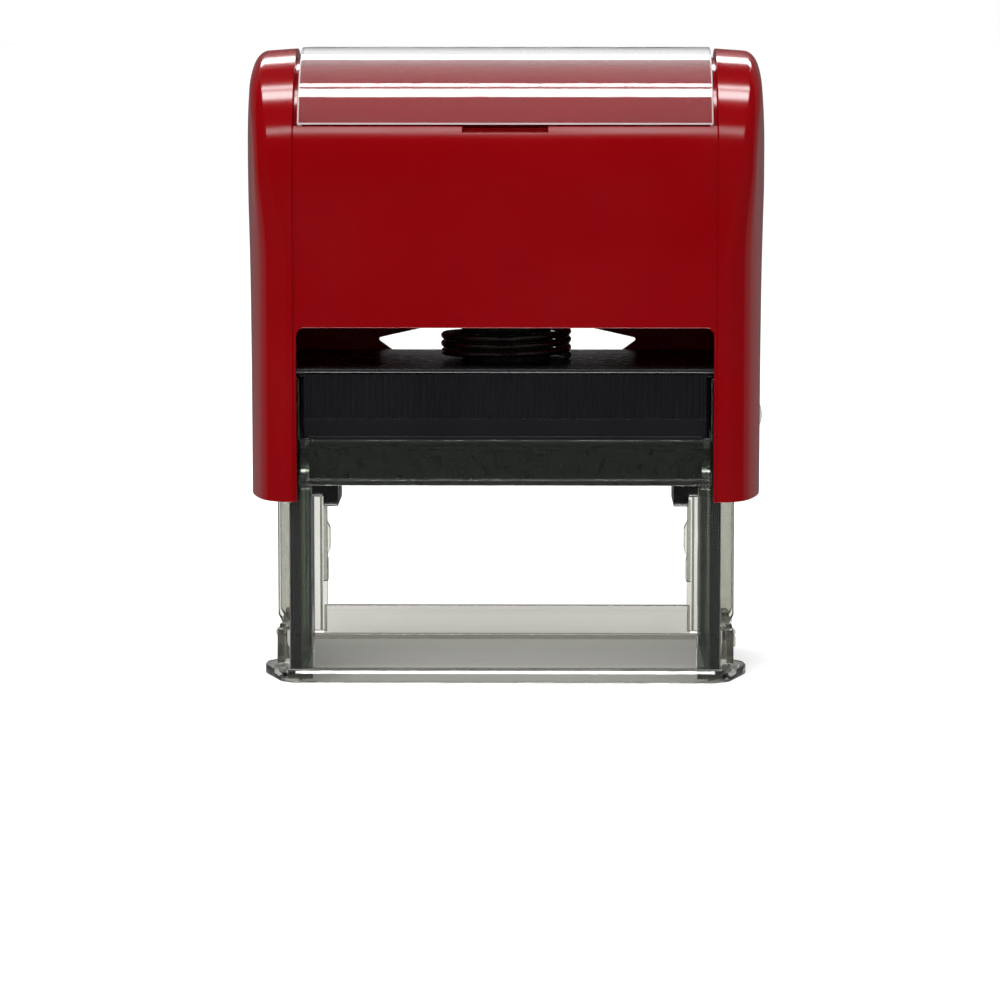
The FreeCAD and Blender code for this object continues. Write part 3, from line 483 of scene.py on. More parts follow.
RED = plastic(
    "case_red_gloss", (0.156, 0.0, 0.0012), 0.14, grain=60.0, relief=0.0, tint=0.04, waviness=0.02,
    specular=0.34,
)
BLACK = plastic("black_satin", (0.012, 0.0125, 0.0135), 0.3, relief=0.06, tint=0.12)
GRIP = plastic("black_grip", (0.006, 0.0062, 0.0085), 0.4, relief=0.08, tint=0.12, specular=0.3)
BUTTON = plastic("button_gloss", (0.50, 0.50, 0.52), 0.18, coat=0.4)
CLEAR = clear_plastic(
    "base_clear_plastic", (0.47, 0.46, 0.43), ((0.55, 0.66, 0.52), 12.0), shadow=(0.80, 0.82, 0.79)
)
SMOKE_ABSORB = ((0.36, 0.40, 0.34), 1300.0)
SMOKE = clear_plastic(
    "frame_smoke_plastic", (0.72, 0.76, 0.70), SMOKE_ABSORB, waviness=0.004, shadow=(0.5, 0.52, 0.5),
    body=(0.012, 0.03),
)
# The smoke frame's rounded edges take a lighter, milkier copy of the smoke. It is a painted highlight along
# the edges, stronger below the beams' foot.
SMOKE_EDGE_HIGHLIGHT = clear_plastic(
    "frame_smoke_edge_highlight", (0.8, 0.83, 0.78), SMOKE_ABSORB, roughness=0.1, body=(0.045, 0.12)
)
RAIL = clear_plastic(
    "frame_rail_plastic", (0.52, 0.52, 0.48), ((0.45, 0.50, 0.43), 30.0), shadow=(0.7, 0.72, 0.7)
)
WINDOW = clear_plastic(
    "window_clear_plastic", (0.985, 0.985, 0.99), roughness=0.02, waviness=0.05, shadow=(0.97, 0.97, 0.97)
)
# The window's rounded edges take a milky white copy of the clear plastic, which is a painted highlight along
# them.
WINDOW_EDGE_HIGHLIGHT = clear_plastic("window_edge_highlight", (0.95, 0.93, 0.94), roughness=0.1, body=(0.3, 0.3))
SPRING = steel("spring_wire", (0.62, 0.60, 0.56), 0.3, (1, 1, 3))
PIN = steel("turned_pin", (0.62, 0.62, 0.63), 0.22, (1, 6, 6))
FOAM = cellular("ink_foam_cells", (0.36, 0.012, 0.025), 1800.0, 0.0003)
CUSHION = cellular("cell_rubber", (0.28, 0.28, 0.29), 2600.0, 0.0001, darker=0.7)
CLOTH = woven("ink_cover_weave", (0.30, 0.006, 0.018), 0.0006)
RUBBER = plastic("stamp_rubber", (0.20, 0.07, 0.06), 0.62, grain=4000.0, relief=0.3, tint=0.12)


# ---------------------------------------------------------------- cap casing

CASE_LOW, CASE_HIGH = span("case_shell")
ARCH_RADIUS = CASE_HIGH.y
ARCH_Z = 71.2
CASE_FLOOR = CASE_LOW.z
CASE_TOP = ARCH_Z + ARCH_RADIUS
SEAM_X = 30.05
CUTOUT_X = 29.6
FRONT_CUTOUT_Z = 50.8
REAR_CUTOUT_Z = 42.0
PANEL_DEPTH = 0.3

# The room inside: the main one, and a narrower one that reaches further into the cheeks.
ROOF_RADIUS = 15.7
ROOM_X, ROOM_Y, ROOM_Z = 31.3, 16.9, 69.6
SIDE_ROOM_X, SIDE_ROOM_Y = 33.6, 12.0

# The index window lies in a recess over the arch, from this angle above its front side to the
# same above its rear side.
WINDOW_THICKNESS = 1.5
WINDOW_DEPTH = 1.35
WINDOW_ANGLE = 26.0


def smooth(value, low, high):
    """Zero below low, one above high, and an even ease between."""
    share = min(1.0, max(0.0, (value - low) / (high - low)))
    return share * share * (3 - 2 * share)


CHEEK_RADIUS = 43.2
CHEEK_WIDEST_Z = 73.0


def cheek_x(y, z):
    """The cheek's outer face before its corner is rounded.

    It bows in towards the front and the rear, and leans in above and below its widest height.
    """
    fullness = 0.9 - 0.35 * smooth(z, 60.0, 74.0)
    bow = fullness * (CHEEK_RADIUS - math.sqrt(CHEEK_RADIUS ** 2 - y * y))
    above = z - CHEEK_WIDEST_Z
    square = above * above
    lean = 0.00473 * square if above > 0 else 0.6 * square / (square + 11.0 ** 2)
    return CASE_HIGH.x - (bow ** 3 + lean ** 3) ** (1 / 3)


def cheek_corner(z):
    """How wide and how deep the cheek's rounded front corner is at that height."""
    share = smooth(z, 62.0, 76.0)
    return 2.7 - 0.9 * share, 3.8 - 1.5 * share


def case_stations():
    """The casing's side outline from the front foot over the arch to the rear foot.

    Each station is its outer point, the point on the middle plane that it is measured towards, and
    whether the window's recess crosses it. The recess begins and ends in a step 0.02 degrees long.
    """
    heights = [CASE_FLOOR, 30, 35, 40, 45, 50, 54, 58, 61, 64, 66, 68, 69.6, ARCH_Z]
    stations = [((-ARCH_RADIUS, z), (0.0, z), False) for z in heights]
    angles = [3.0 * step for step in range(1, 60)]
    for rim in (WINDOW_ANGLE, 180 - WINDOW_ANGLE):
        angles += [rim - 0.01, rim + 0.01]
    for angle in sorted(angles):
        turn = math.radians(angle)
        point = (-ARCH_RADIUS * math.cos(turn), ARCH_Z + ARCH_RADIUS * math.sin(turn))
        stations.append((point, (0.0, ARCH_Z), WINDOW_ANGLE < angle < 180 - WINDOW_ANGLE))
    stations += [((ARCH_RADIUS, z), (0.0, z), False) for z in reversed(heights)]
    return stations


CORNER_STEPS = 9
SIDE_SHARES = (0.06, 0.14, 0.24, 0.36, 0.5, 0.64, 0.78, 0.9, 1.0)


def case_row(edge, spine, in_window):
    """One station's points from the left side over the outer face to the right side."""
    wide, deep = cheek_corner(edge[1])
    crown = 0.3 * smooth(edge[1], ARCH_Z, CASE_TOP)
    reach = math.hypot(edge[0] - spine[0], edge[1] - spine[1])

    def place(x, depth):
        share = depth / reach
        return (x, edge[0] + (spine[0] - edge[0]) * share, edge[1] + (spine[1] - edge[1]) * share)

    def at_side(depth, inset):
        share = depth / reach
        y = edge[0] + (spine[0] - edge[0]) * share
        z = edge[1] + (spine[1] - edge[1]) * share
        return cheek_x(y, z) - inset

    flat = 0.35 * at_side(0, wide) + 0.65 * SEAM_X
    recess = WINDOW_DEPTH if in_window else PANEL_DEPTH
    half = [place(SEAM_X, recess), place(SEAM_X, 0.0), place(flat, crown * 0.35)]
    for step in range(CORNER_STEPS + 1):
        turn = math.pi / 2 * step / CORNER_STEPS
        depth = crown + deep * (1 - math.cos(turn))
        half.append(place(at_side(depth, wide * (1 - math.sin(turn))), depth))
    for share in SIDE_SHARES:
        depth = crown + deep + (reach - crown - deep) * share
        half.append(place(at_side(depth, 0.0), depth))
    left = [(-x, y, z) for x, y, z in reversed(half)]
    return left + half


def make_case():
    """The casing's outside in one skin, closed below, then hollowed and opened."""
    rows = [case_row(*station) for station in case_stations()]
    width = len(rows[0])
    points = [point for row in rows for point in row]
    faces = []
    for row in range(len(rows) - 1):
        for column in range(width - 1):
            first = row * width + column
            faces.append((first, first + 1, first + width + 1, first + width))
    last = (len(rows) - 1) * width
    faces.append(tuple(range(width)) + tuple(range(last + width - 1, last - 1, -1)))
    shell = solid("case_shell_skin", points, faces)

    below = CASE_FLOOR - 1
    front_wall, rear_wall = (-ARCH_RADIUS - 1, -16.0), (16.0, ARCH_RADIUS + 1)
    room = [(-ROOM_Y, below), (-ROOM_Y, ROOM_Z)]
    room += arc((0.0, ARCH_Z), ROOF_RADIUS, 180, 0, 40)
    room += [(ROOM_Y, ROOM_Z), (ROOM_Y, below)]
    side_angle = math.degrees(math.acos(SIDE_ROOM_Y / ROOF_RADIUS))
    side_room = [(-SIDE_ROOM_Y, below)]
    side_room += arc((0.0, ARCH_Z), ROOF_RADIUS, 180 - side_angle, side_angle, 30)
    side_room += [(SIDE_ROOM_Y, below)]
    slot = [(-17.0, 44.6), (17.0, 44.6), (19.6, 46.5), (12.0, 48.2), (-12.0, 48.2), (-19.6, 46.5)]

    def cutout(top):
        corners = [(-CUTOUT_X, below, 0), (CUTOUT_X, below, 0), (CUTOUT_X, top, 1.2), (-CUTOUT_X, top, 1.2)]
        return rounded(corners)

    tools = [
        prism("room", "x", room, *both(ROOM_X)),
        prism("side_room", "x", side_room, *both(SIDE_ROOM_X)),
        prism("front_cutout", "y", cutout(FRONT_CUTOUT_Z), *front_wall),
        prism("rear_cutout", "y", cutout(REAR_CUTOUT_Z), *rear_wall),
        prism("rear_slot", "y", rounded([(x, z, 0.3) for x, z in slot], 3), *rear_wall),
        block("nail_notch", both(6.0), (-ARCH_RADIUS, -14.8), (78.35, 79.4)),
        rod("lock_bore", "x", (0.0, CATCH_Z), 34.3, 38.5, 1.88),
        rod("lock_passage", "x", (0.0, CATCH_Z), 32.6, 35.3, 0.8, 24),
    ]
    split_faces(cut(shell, *tools))
    finish_piece(shell, "cap", RED, "case_shell", 0.14, "cap_casing")


make_case()


# ---------------------------------------------------------------- index window

def make_window():
    """The clear curved window and the bead along its rear edge."""
    low, high = span("index_window")
    outer = high.z - ARCH_Z
    inner = outer - WINDOW_THICKNESS
    front, rear = 180 - WINDOW_ANGLE - 0.15, WINDOW_ANGLE - 0.25
    outline = arc((0.0, ARCH_Z), outer, front, rear, 72)
    outline += arc((0.0, ARCH_Z), inner, rear, front, 72)
    sheet = prism("window_sheet", "x", outline, low.x, high.x)
    bead_angle = math.radians(WINDOW_ANGLE)
    middle = (outer + inner) / 2
    centre = (middle * math.cos(bead_angle), ARCH_Z + middle * math.sin(bead_angle))
    fuse(sheet, rod("window_bead", "x", centre, low.x, high.x, 0.74, 32))
    # The window's edge rounding is painted as a highlight with the milky copy.
    finish_piece(
        sheet, "window", WINDOW, "index_window", 0.2, "index_window_pane", WINDOW_EDGE_HIGHLIGHT
    )


make_window()


# ---------------------------------------------------------------- clear base

def make_base():
    """The clear foot: flange, low walls with beads, leg sockets and their nubs."""
    low, high = span("clear_base")
    corners = [
        (31.6, -18.7, 3.5), (high.x, -9.0, 1.6), (33.0, -6.5, 0.6), (33.0, 14.5, 0.6), (34.4, 16.4, 0.8),
        (34.4, 18.7, 0.9),
    ]
    outline = corners + [(-x, y, r) for x, y, r in reversed(corners)]
    top = 1.75
    opening_y = 13.7
    pocket_z = (0.5, 2.5)
    base = prism("flange", "z", rounded(outline, 10), low.z, top)
    soften(base, 0.36, lambda start, end: min(start.z, end.z) > top - 0.01, 1)
    soften(base, 0.25, lambda start, end: max(start.z, end.z) < low.z + 0.01)
    walls = []
    for side in (-1, 1):
        walls.append(soften(block("wall", both(27.4), beside(side, opening_y, 15.2), (1.2, 6.6)), 0.12))
        walls.append(block("bead", both(27.4), beside(side, 15.15, 15.55), (5.7, 6.55)))
        for end in (-1, 1):
            socket = block("socket", beside(end, 30.85, 32.9), beside(side, 5.0, 11.5), (1.2, high.z))
            walls.append(soften(socket, 0.3))
            walls.append(rod("nub", "y", (end * 32.75, 5.6), *beside(side, 6.0, 8.2), 0.7, 20))
    fuse(base, *walls)
    hollows = [prism("opening", "z", rectangle(both(29.0), both(opening_y), 0.5), -1, pocket_z[1])]
    for side in (-1, 1):
        for end in (-1, 1):
            hollows.append(block("hollow", beside(end, 31.9, 33.6), beside(side, 6.1, 10.4), (top, 8.0)))
        hollows.append(block("leg_pocket", beside(side, 29.0, WALL_X[1] + 0.05), both(16.65), pocket_z))
        for end in (-1, 1):
            hollows.append(
                block("pillar_pocket", beside(side, 27.45, WALL_X[1]), beside(end, 14.35, 16.65), pocket_z)
            )
    cut(base, *hollows)
    finish_piece(base, "frame", CLEAR, "clear_base", name="base_foot")


make_base()


# ---------------------------------------------------------------- smoke side frame

def make_sides():
    """The frame's slotted walls with their pillars and the beams between them."""
    low, high = span("side_frame")
    depth = high.y
    within_wall = WALL_X[0] + 0.1
    wall = rectangle(both(depth), (low.z, high.z))
    parts = [prism("wall", "x", wall, *beside(side, *WALL_X)) for side in (-1, 1)]
    for side in (-1, 1):
        for end, near in ((-1, 27.5), (1, 28.95)):
            parts.append(
                block("pillar", beside(side, near, within_wall), beside(end, 14.4, depth), (low.z, 28.3))
            )
    beam = [
        (15.0, 28.1), (16.15, 28.1), (16.15, 28.9), (16.25, 29.0), (16.6, 30.8), (16.6, 34.7), (15.0, 34.7),
    ]
    for end in (-1, 1):
        parts.append(prism("beam", "x", [(end * y, z) for y, z in beam], *both(within_wall)))
    body = parts.pop(0)
    fuse(body, *parts)
    tools = []
    for side in (-1, 1):
        through = beside(side, 29.0, 31.2)
        tools.append(prism("pin_slot", "x", rectangle(both(1.7), (4.8, 32.2), 1.2), *through))
        tools.append(rod("lock_hole", "x", (0.0, CATCH_Z), *through, 0.8, 24))
        for end in (-1, 1):
            tools.append(
                block("clip_window", through, beside(end, CLIP_Y[0] - 0.05, CLIP_Y[1] + 0.05), (39.0, 40.45))
            )
        tools.append(make_track(side))
    cut(body, *tools)
    # The frame's edge rounding is painted as a highlight with the lighter smoke copy.
    finish_piece(body, "frame", SMOKE, "side_frame", 0.14, "frame_sides", SMOKE_EDGE_HIGHLIGHT)


def make_track(side):
    """The curved groove, 2 mm wide, that the guide pin follows as the die turns over."""
    near, far = [], []
    throw = PIVOT_Z - GUIDE_Z
    for step in range(33):
        turn = math.pi * step / 32
        y = throw * math.sin(turn)
        z = PIVOT_Z - TRAVEL * turn / math.pi - throw * math.cos(turn)
        slope = Vector((throw * math.cos(turn), -TRAVEL / math.pi + throw * math.sin(turn))).normalized()
        near.append((y + slope.y, z - slope.x))
        far.append((y - slope.y, z + slope.x))
    outline = near + list(reversed(far))
    return prism("track", "x", outline, *beside(side, 29.2, 30.25))


make_sides()


RIBS = (("inner_rib", 26.95, 27.7, RAIL), ("rib_web", 27.75, 27.95, SMOKE), ("outer_rib", 28.0, 28.9, RAIL))


def make_rails():
    """Guide rails outside each wall, and ribs and the die's turning stop inside it."""
    _, high = span("side_frame")
    stop = rounded([
        (27.45, 10.3, 0), (26.7, 10.3, 0.35), (26.7, 13.6, 0.8), (26.85, 14.3, 0.5), (26.4, 15.2, 0.8),
        (26.4, 18.5, 0.8), (26.9, 19.4, 0.6), (26.9, 22.5, 0.4), (27.45, 22.5, 0),
    ], 4)
    rail = [(30.82, 5.2), (31.8, 5.2), (high.x, 7.8), (high.x, 41.2), (32.4, 42.0), (30.82, 42.0)]
    for side, word in ((-1, "left"), (1, "right")):

        def make(name, outline, y, look, edge):
            piece = prism(name, "y", [(side * x, z) for x, z in outline], *y)
            finish_piece(piece, "frame", look, "side_frame", edge, f"{name}_{word}")

        for name, near, far, look in RIBS:
            make(name, rectangle((near, far), (2.6, 25.6)), (14.5, 16.3), look, 0.05)
        make("turning_stop", stop, (12.75, 14.4), RAIL, 0.1)
        for end, place in ((-1, "front"), (1, "rear")):
            make(f"guide_rail_{place}", rail, beside(end, 2.4, 4.0), RAIL, 0.2)


make_rails()


# ---------------------------------------------------------------- black bridge

def make_bridge():
    """The black cross piece with its edge lip, spring post and snap clips."""
    _, high = span("top_bridge")
    under, lip, top = 43.5, 44.25, 44.9
    rim = [(14.9, under), (14.9, lip), (16.6, lip), (16.6, top)]
    outline = [(-y, z) for y, z in rim] + rim[::-1]
    clip = [
        (29.8, under), (29.8, top), (32.05, top), (32.05, 38.0), (30.85, 38.0), (30.85, 39.05), (30.15, 40.4),
        (30.85, 40.4), (30.85, under),
    ]
    plate = prism("plate", "x", outline, *both(WALL_X[1]))
    parts = [rod("post", "z", (0.0, 0.0), 44.5, high.z, 6.5, 64)]
    for side in (-1, 1):
        for end in (-1, 1):
            parts.append(prism("clip", "y", [(side * x, z) for x, z in clip], *beside(end, *CLIP_Y)))
    fuse(plate, *parts)
    cut(plate, rod("post_bore", "z", (0.0, 0.0), top, high.z + 1, 5.0, 64))
    finish_piece(plate, "frame", BLACK, "top_bridge", 0.28, "cross_bridge")


make_bridge()


# ---------------------------------------------------------------- ink cartridge and pad

RIB_PITCH = 0.9


def ribbed_edge(half, y, depth, outward):
    """A grip's plan from left to right, with fine vertical ribs."""
    count = int(2 * half / RIB_PITCH)
    start = -count * RIB_PITCH / 2
    points = [(-half, y)]
    for index in range(count):
        x = start + index * RIB_PITCH
        crest = y - outward * depth
        points += [(x + 0.1, y), (x + 0.22, crest), (x + 0.68, crest), (x + 0.8, y)]
    points.append((half, y))
    return points


def make_cartridge():
    """The pad tray with a ribbed finger grip on each long side."""
    _, high = span("ink_cartridge")
    tray = block("tray", both(29.1), both(14.8), (34.75, 43.2))
    parts = []
    for end in (-1, 1):
        ribs = ribbed_edge(28.65, end * 16.4, 0.17, end)
        outline = ribs + [(28.65, end * 14.6), (-28.65, end * 14.6)]
        parts.append(prism("grip", "z", outline, 37.7, 43.2))
        edge = ribs + [(28.65, end * 15.1), (-28.65, end * 15.1)]
        parts.append(prism("grip_edge", "z", edge, 43.1, high.z))
        parts.append(block("band", both(28.65), beside(end, 14.6, 16.32), (35.15, 37.72)))
        parts.append(block("lip", both(28.0), beside(end, 14.6, 16.55), (34.75, 35.2)))
    fuse(tray, *parts)
    cut(tray, prism("pocket", "z", rectangle(both(28.4), both(12.6), 0.8), 34.0, 41.8))
    finish_piece(tray, "frame", GRIP, "ink_cartridge", 0.07, "ink_tray")


make_cartridge()


def make_pad(node, name, look, crown):
    """A soft rectangular layer: soft edges, and a middle raised by the crown."""
    low, high = span(node)
    columns, rows = 56, 26
    gather = 1.5
    points, faces = [], []
    radius = min(0.5, (high.z - low.z) * 0.45)
    for level, sign in ((low.z, -1), (high.z, 1)):
        for row in range(rows + 1):
            for column in range(columns + 1):
                u, v = 2 * column / columns - 1, 2 * row / rows - 1
                u = math.copysign(1 - (1 - abs(u)) ** gather, u)
                v = math.copysign(1 - (1 - abs(v)) ** gather, v)
                x, y = u * high.x, v * high.y
                near = min(high.x - abs(x), high.y - abs(y))
                fall = radius - math.sqrt(max(0.0, radius ** 2 - max(0.0, radius - near) ** 2))
                fall += crown * (u ** 4 + v ** 4) / 2
                points.append((x, y, level - sign * min(fall, (high.z - low.z) * 0.49)))
    per_level = (columns + 1) * (rows + 1)
    for row in range(rows):
        for column in range(columns):
            first = row * (columns + 1) + column
            quad = (first, first + 1, first + columns + 2, first + columns + 1)
            faces.append(tuple(reversed(quad)))
            faces.append(tuple(index + per_level for index in quad))
    rim = list(range(columns + 1))
    rim += [row * (columns + 1) + columns for row in range(1, rows + 1)]
    rim += [rows * (columns + 1) + column for column in range(columns - 1, -1, -1)]
    rim += [row * (columns + 1) for row in range(rows - 1, 0, -1)]
    for index, first in enumerate(rim):
        second = rim[(index + 1) % len(rim)]
        faces.append((first, second, second + per_level, first + per_level))
    pad = solid(name, points, faces)
    finish_piece(pad, "die" if node == "die_cushion" else "frame", look, node)


make_pad("pad_foam", "pad_core", FOAM, 0.0)
make_pad("pad_cover", "pad_cloth", CLOTH, 0.1)
make_pad("die_cushion", "die_cell_layer", CUSHION, 0.0)


# ---------------------------------------------------------------- springs

def helix(radius, low, high, turns, first, last, pitch, along="z", centre=(0.0, 0.0)):
    """A compression spring's centre line, with its first and last turns wound at a closed pitch."""
    steps = int(turns * 40)
    path = []
    for step in range(steps + 1):
        turn = turns * step / steps
        rise_low = pitch * min(turn, first)
        rise_high = pitch * max(0.0, turn - (turns - last))
        middle = min(max(turn - first, 0.0), turns - first - last) / (turns - first - last)
        height = low + rise_low + rise_high + (high - low - pitch * (first + last)) * middle
        angle = 2 * math.pi * turn
        u, v = radius * math.cos(angle), radius * math.sin(angle)
        if along == "z":
            path.append(Vector((u, v, height)))
        else:
            path.append(Vector((height, centre[0] + u, centre[1] + v)))
    return path


def make_springs():
    """The return spring on its post and the catch's small spring, each on a mesh of its own."""
    low, high = span("return_spring")
    wire = 0.55
    path = helix(
        high.x - wire, low.z + wire, high.z - wire, turns=9.2, first=3.2, last=1.2, pitch=2.12 * wire
    )
    spring = finish_piece(
        sweep("coil", path, wire), "frame", SPRING, "return_spring", name="return_coil"
    )
    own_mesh(spring)
    low, high = span("lock_spring")
    wire = 0.16
    path = helix(
        1.3, low.x + wire, high.x - wire, turns=4.0, first=0.8, last=0.8, pitch=2.1 * wire, along="x",
        centre=(0.0, CATCH_Z),
    )
    small = finish_piece(
        sweep("coil", path, wire, 10), "cap", SPRING, "lock_spring", name="lock_coil"
    )
    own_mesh(small)


make_springs()


# ---------------------------------------------------------------- die, carrier and pins

EAR_X = 24.3


def make_carrier():
    """The die's carrier: a ribbed plate with a hooked ear at each end."""
    low, high = span("die_carrier")
    plate = block("plate", both(high.x), both(high.y), (31.1, high.z))
    parts = []
    for side in (-1, 1):
        inner = rectangle(both(6.5), (low.z, 31.6), 0.8)
        outer = rectangle(both(6.5), (25.3, 31.6), 0.8)
        parts.append(prism("ear_inner", "x", inner, *beside(side, EAR_X, 26.45)))
        parts.append(prism("ear_outer", "x", outer, *beside(side, 26.4, 28.2)))
    for index in range(-2, 3):
        parts.append(block("rib", (index * 10.3 - 0.6, index * 10.3 + 0.6), both(9.3), (29.3, 31.3)))
    parts.append(block("spine", both(EAR_X + 0.3), both(0.6), (29.3, 31.3)))
    for end in (-1, 1):
        parts.append(block("skirt", both(28.2), beside(end, 9.9, high.y), (27.6, 31.3)))
    fuse(plate, *parts)
    bores = []
    for side in (-1, 1):
        bores.append(rod("pivot_bore", "x", (0.0, PIVOT_Z), *beside(side, EAR_X, 29.6), 1.5, 40))
        bores.append(rod("guide_bore", "x", (0.0, GUIDE_Z), *beside(side, 26.4, 29.2), 0.9, 32))
    cut(plate, *bores)
    finish_piece(plate, "die", BLACK, "die_carrier", 0.12, "plate_carrier")


make_carrier()


def make_pins():
    """The pivot and guide pins, with chamfered ends."""
    for word, side in (("left", -1), ("right", 1)):
        for kind, height in (("pivot", PIVOT_Z), ("guide", GUIDE_Z)):
            node = f"{kind}_pin_{word}"
            low, high = span(node)
            radius = high.y
            start, end = sorted((abs(low.x), abs(high.x)))
            chamfer = 0.25
            profile = [
                (start, 0.0), (start, radius - chamfer), (start + chamfer, radius), (end - chamfer, radius),
                (end, radius - chamfer), (end, 0.0),
            ]
            pin = lathe("pin", [(side * x, r) for x, r in profile], (0.0, height), 40)
            finish_piece(pin, "die", PIN, node, name=f"{kind}_stub_{word}")


make_pins()


def make_rubber():
    """The rubber die: a sheet with plain lines and blocks in relief, drafted like engraving."""
    low, high = span("rubber_die")
    back = 35.8
    relief_z = (back - 0.1, high.z)
    sheet = prism("sheet", "z", rectangle(both(high.x), both(high.y), 0.6), low.z, back)
    parts = []
    for side in (-1, 1):
        parts.append(drafted(both(26.6), beside(side, 7.8, 8.8), relief_z, 0.12))
    for index in range(-2, 3):
        centre = index * 11.0
        parts.append(drafted((centre - 3.5, centre + 3.5), both(5.2), relief_z, 0.15))
    fuse(sheet, *parts)
    finish_piece(sheet, "die", RUBBER, "rubber_die", 0.06, "text_plate")


def drafted(x, y, z, slope):
    """A block whose sides lean in towards its top."""
    points = []
    for level, inset in zip(z, (0.0, slope)):
        for u, v in ((0, 0), (1, 0), (1, 1), (0, 1)):
            points.append((x[u] + (inset if u == 0 else -inset), y[v] + (inset if v == 0 else -inset), level))
    faces = [(0, 1, 2, 3), (4, 5, 6, 7), (0, 1, 5, 4), (1, 2, 6, 5), (2, 3, 7, 6), (3, 0, 4, 7)]
    return solid("relief", points, faces)


make_rubber()


# ---------------------------------------------------------------- drive bow and catch

def make_bow():
    """The bow inside the cap: a ribbed seat plate with an arm down to each pivot pin."""
    _, high = span("drive_bow")
    under = 80.0
    shoulder = [(2.1, 65.5), (2.6, 66.6), (3.6, 67.0), (6.0, 67.6), (6.0, under + 0.4)]
    arm = [(-2.1, PIVOT_Z)] + arc((0.0, PIVOT_Z), 2.1, 180, 360, 20)[1:-1] + [(2.1, PIVOT_Z)]
    arm += shoulder + [(-y, z) for y, z in reversed(shoulder)]
    plate = block("plate", both(high.x), both(9.0), (under, 82.2))
    parts = [
        block("rib", both(high.x - 0.4), both(1.2), (81.0, high.z)),
        rod("seat", "z", (0.0, 0.0), 77.6, under + 0.4, 11.2, 64),
    ]
    for side in (-1, 1):
        parts.append(prism("arm", "x", arm, *beside(side, 31.1, high.x)))
    fuse(plate, *parts)
    tools = [rod("seat_bore", "z", (0.0, 0.0), 77.0, under, 9.8, 64)]
    for side in (-1, 1):
        through = beside(side, 30.5, 34.0)
        tools.append(rod("bearing", "x", (0.0, PIVOT_Z), *through, 1.55, 40))
        tools.append(rod("lock_way", "x", (0.0, CATCH_Z), *through, 1.25, 32))
    cut(plate, *tools)
    finish_piece(plate, "cap", BLACK, "drive_bow", 0.15, "spring_bow")


make_bow()


def make_button():
    """The domed catch with its stem and collar."""
    low, high = span("lock_button")
    stem, head = 0.7, 36.0
    profile = [
        (low.x, 0.0), (low.x, stem - 0.15), (low.x + 0.15, stem), (32.9, stem), (33.5, 1.0), (33.5, stem),
        (head, stem), (head, 1.7), (head + 0.1, 1.8), (head + 0.57, 1.8), (head + 0.72, 1.7),
    ]
    for degrees in range(90, -1, -9):
        angle = math.radians(degrees)
        profile.append((high.x - 0.55 * (1 - math.cos(angle)), 1.66 * math.sin(angle)))
    button = lathe("button", profile, (0.0, CATCH_Z), 64)
    finish_piece(button, "lock", BUTTON, "lock_button", name="catch_button")


make_button()


# ---------------------------------------------------------------- stage, light and camera

def make_stage():
    """A plain pale floor, which doesn't show in the object's gloss."""
    mesh = bpy.data.meshes.new("floor")
    reach = 6.0
    corners = [(x, y, 0) for x, y in rectangle(both(reach), both(reach))]
    mesh.from_pydata(corners, [], [(0, 1, 2, 3)])
    floor = bpy.data.objects.new("floor", mesh)
    bpy.context.scene.collection.objects.link(floor)
    look, tree = blank("pale_floor")
    where = object_position(tree)
    tone, _ = varied(tree, where, 3.0, 0.78, 0.80)
    matte = add(
        tree, "ShaderNodeBsdfPrincipled", Base_Color=grey(tree, tone), Roughness=0.9, Specular_IOR_Level=0.1
    )
    glow = add(tree, "ShaderNodeEmission", Color=(1, 1, 1, 1), Strength=0.22)
    lit = add(tree, "ShaderNodeAddShader", _0=matte.outputs[0], _1=glow.outputs[0])
    add(tree, "ShaderNodeOutputMaterial", Surface=lit.outputs[0])
    mesh.materials.append(look)
    floor.visible_glossy = False


# What gloss reflects: (degrees from the front horizon over the top to the rear one, brightness).
# Each bright run is a strip light along X.
SKY_PEAK = 26.0
SKY = [
    (0.0, 0.0), (42.5, 0.0), (43.5, 8.0), (47.5, 8.0), (48.5, 0.05), (77.5, 0.05), (78.5, SKY_PEAK),
    (86.5, SKY_PEAK), (87.5, 2.0), (89.5, 2.0), (90.3, SKY_PEAK), (93.2, SKY_PEAK), (94.0, 0.05),
    (130.0, 0.05), (131.0, SKY_PEAK), (139.0, SKY_PEAK), (140.5, 0.8), (160.0, 0.14), (180.0, 0.14),
]


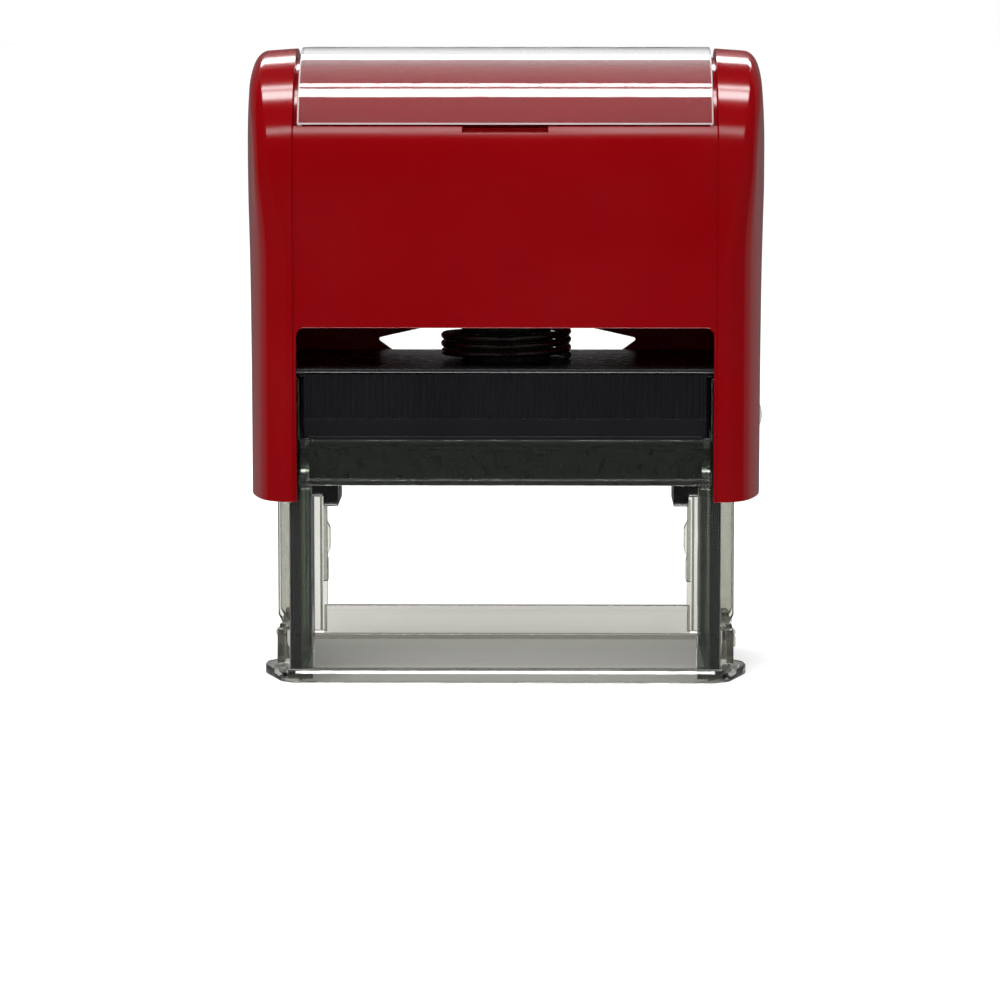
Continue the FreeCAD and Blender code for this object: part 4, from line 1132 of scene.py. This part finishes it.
def make_world():
    """Plain white for the eye and for diffuse light; for gloss, dim in front with strips overhead."""
    world = bpy.data.worlds.new("studio")
    bpy.context.scene.world = world
    world.use_nodes = True
    world.cycles.sampling_method = "NONE"
    tree = world.node_tree
    tree.nodes.clear()
    way = add(tree, "ShaderNodeTexCoord").outputs["Generated"]
    parts = add(tree, "ShaderNodeSeparateXYZ", Vector=way).outputs
    ahead = reckoned(tree, "MULTIPLY", parts["Y"], -1.0)
    above = reckoned(tree, "ABSOLUTE", parts["Z"])
    turn = reckoned(tree, "ARCTAN2", above, ahead)
    ramp = add(tree, "ShaderNodeValToRGB", Fac=mapped(tree, turn, 0.0, math.pi))
    elements = ramp.color_ramp.elements
    while len(elements) > 1:
        elements.remove(elements[-1])
    elements[0].position = 0.0
    elements[0].color = (SKY[0][1] / SKY_PEAK,) * 3 + (1,)
    for angle, value in SKY[1:]:
        elements.new(angle / 180).color = (value / SKY_PEAK,) * 3 + (1,)
    lift = add(tree, "ShaderNodeVectorMath", {"operation": "SCALE"}, _0=ramp.outputs["Color"], Scale=SKY_PEAK)
    side = mapped(tree, reckoned(tree, "ABSOLUTE", parts["X"]), 0.28, 0.34)
    dim = mapped(tree, parts["Y"], 0.26, 0.34, 0.03, 0.2)
    mixed = add(tree, "ShaderNodeMix", {"data_type": "RGBA"})
    tree.links.new(side, mixed.inputs["Factor"])
    tree.links.new(lift.outputs[0], mixed.inputs[6])
    tree.links.new(grey(tree, dim), mixed.inputs[7])
    gloss = add(tree, "ShaderNodeBackground", Color=mixed.outputs[2], Strength=1.0)
    plain = add(tree, "ShaderNodeBackground", Color=(1, 1, 1, 1), Strength=1.0)
    path = add(tree, "ShaderNodeLightPath").outputs
    opaque = reckoned(tree, "SUBTRACT", 1.0, path["Is Transmission Ray"])
    mirror = reckoned(tree, "MULTIPLY", path["Is Glossy Ray"], opaque)
    pick = add(tree, "ShaderNodeMixShader", _0=mirror, _1=plain.outputs[0], _2=gloss.outputs[0])
    add(tree, "ShaderNodeOutputWorld", Surface=pick.outputs[0])


def area(name, place, aim, size, power):
    """A soft lamp that lights the object but doesn't show in its gloss."""
    data = bpy.data.lights.new(name, "AREA")
    data.shape = "RECTANGLE"
    data.size, data.size_y = size
    data.energy = power
    lamp = bpy.data.objects.new(name, data)
    lamp.location = place
    lamp.rotation_euler = (Vector(aim) - Vector(place)).to_track_quat("-Z", "Y").to_euler()
    lamp.visible_glossy = False
    lamp.visible_camera = False
    lamp.visible_transmission = False
    bpy.context.scene.collection.objects.link(lamp)


def make_camera():
    """The camera at the photograph's angle: just right of the middle and a little above."""
    data = bpy.data.cameras.new("view")
    data.lens = 158.3
    data.sensor_width = 36.0
    data.clip_start, data.clip_end = 0.05, 50.0
    camera = bpy.data.objects.new("view", data)
    place = Vector((0.006, -0.6387, 0.100))
    aim = Vector((-0.0007, -0.0187, 0.02638))
    camera.location = place
    camera.rotation_mode = "QUATERNION"
    camera.rotation_quaternion = (aim - place).to_track_quat("-Z", "Y")
    bpy.context.scene.collection.objects.link(camera)
    bpy.context.scene.camera = camera


make_stage()
make_world()
area("key", (-0.25, -0.5, 0.6), (0, 0, 0.05), (0.4, 0.4), 3.0)
area("top", (0.0, 0.0, 0.7), (0, 0, 0.05), (0.6, 0.4), 3.0)
make_camera()
bpy.context.scene.view_settings.view_transform = "Standard"
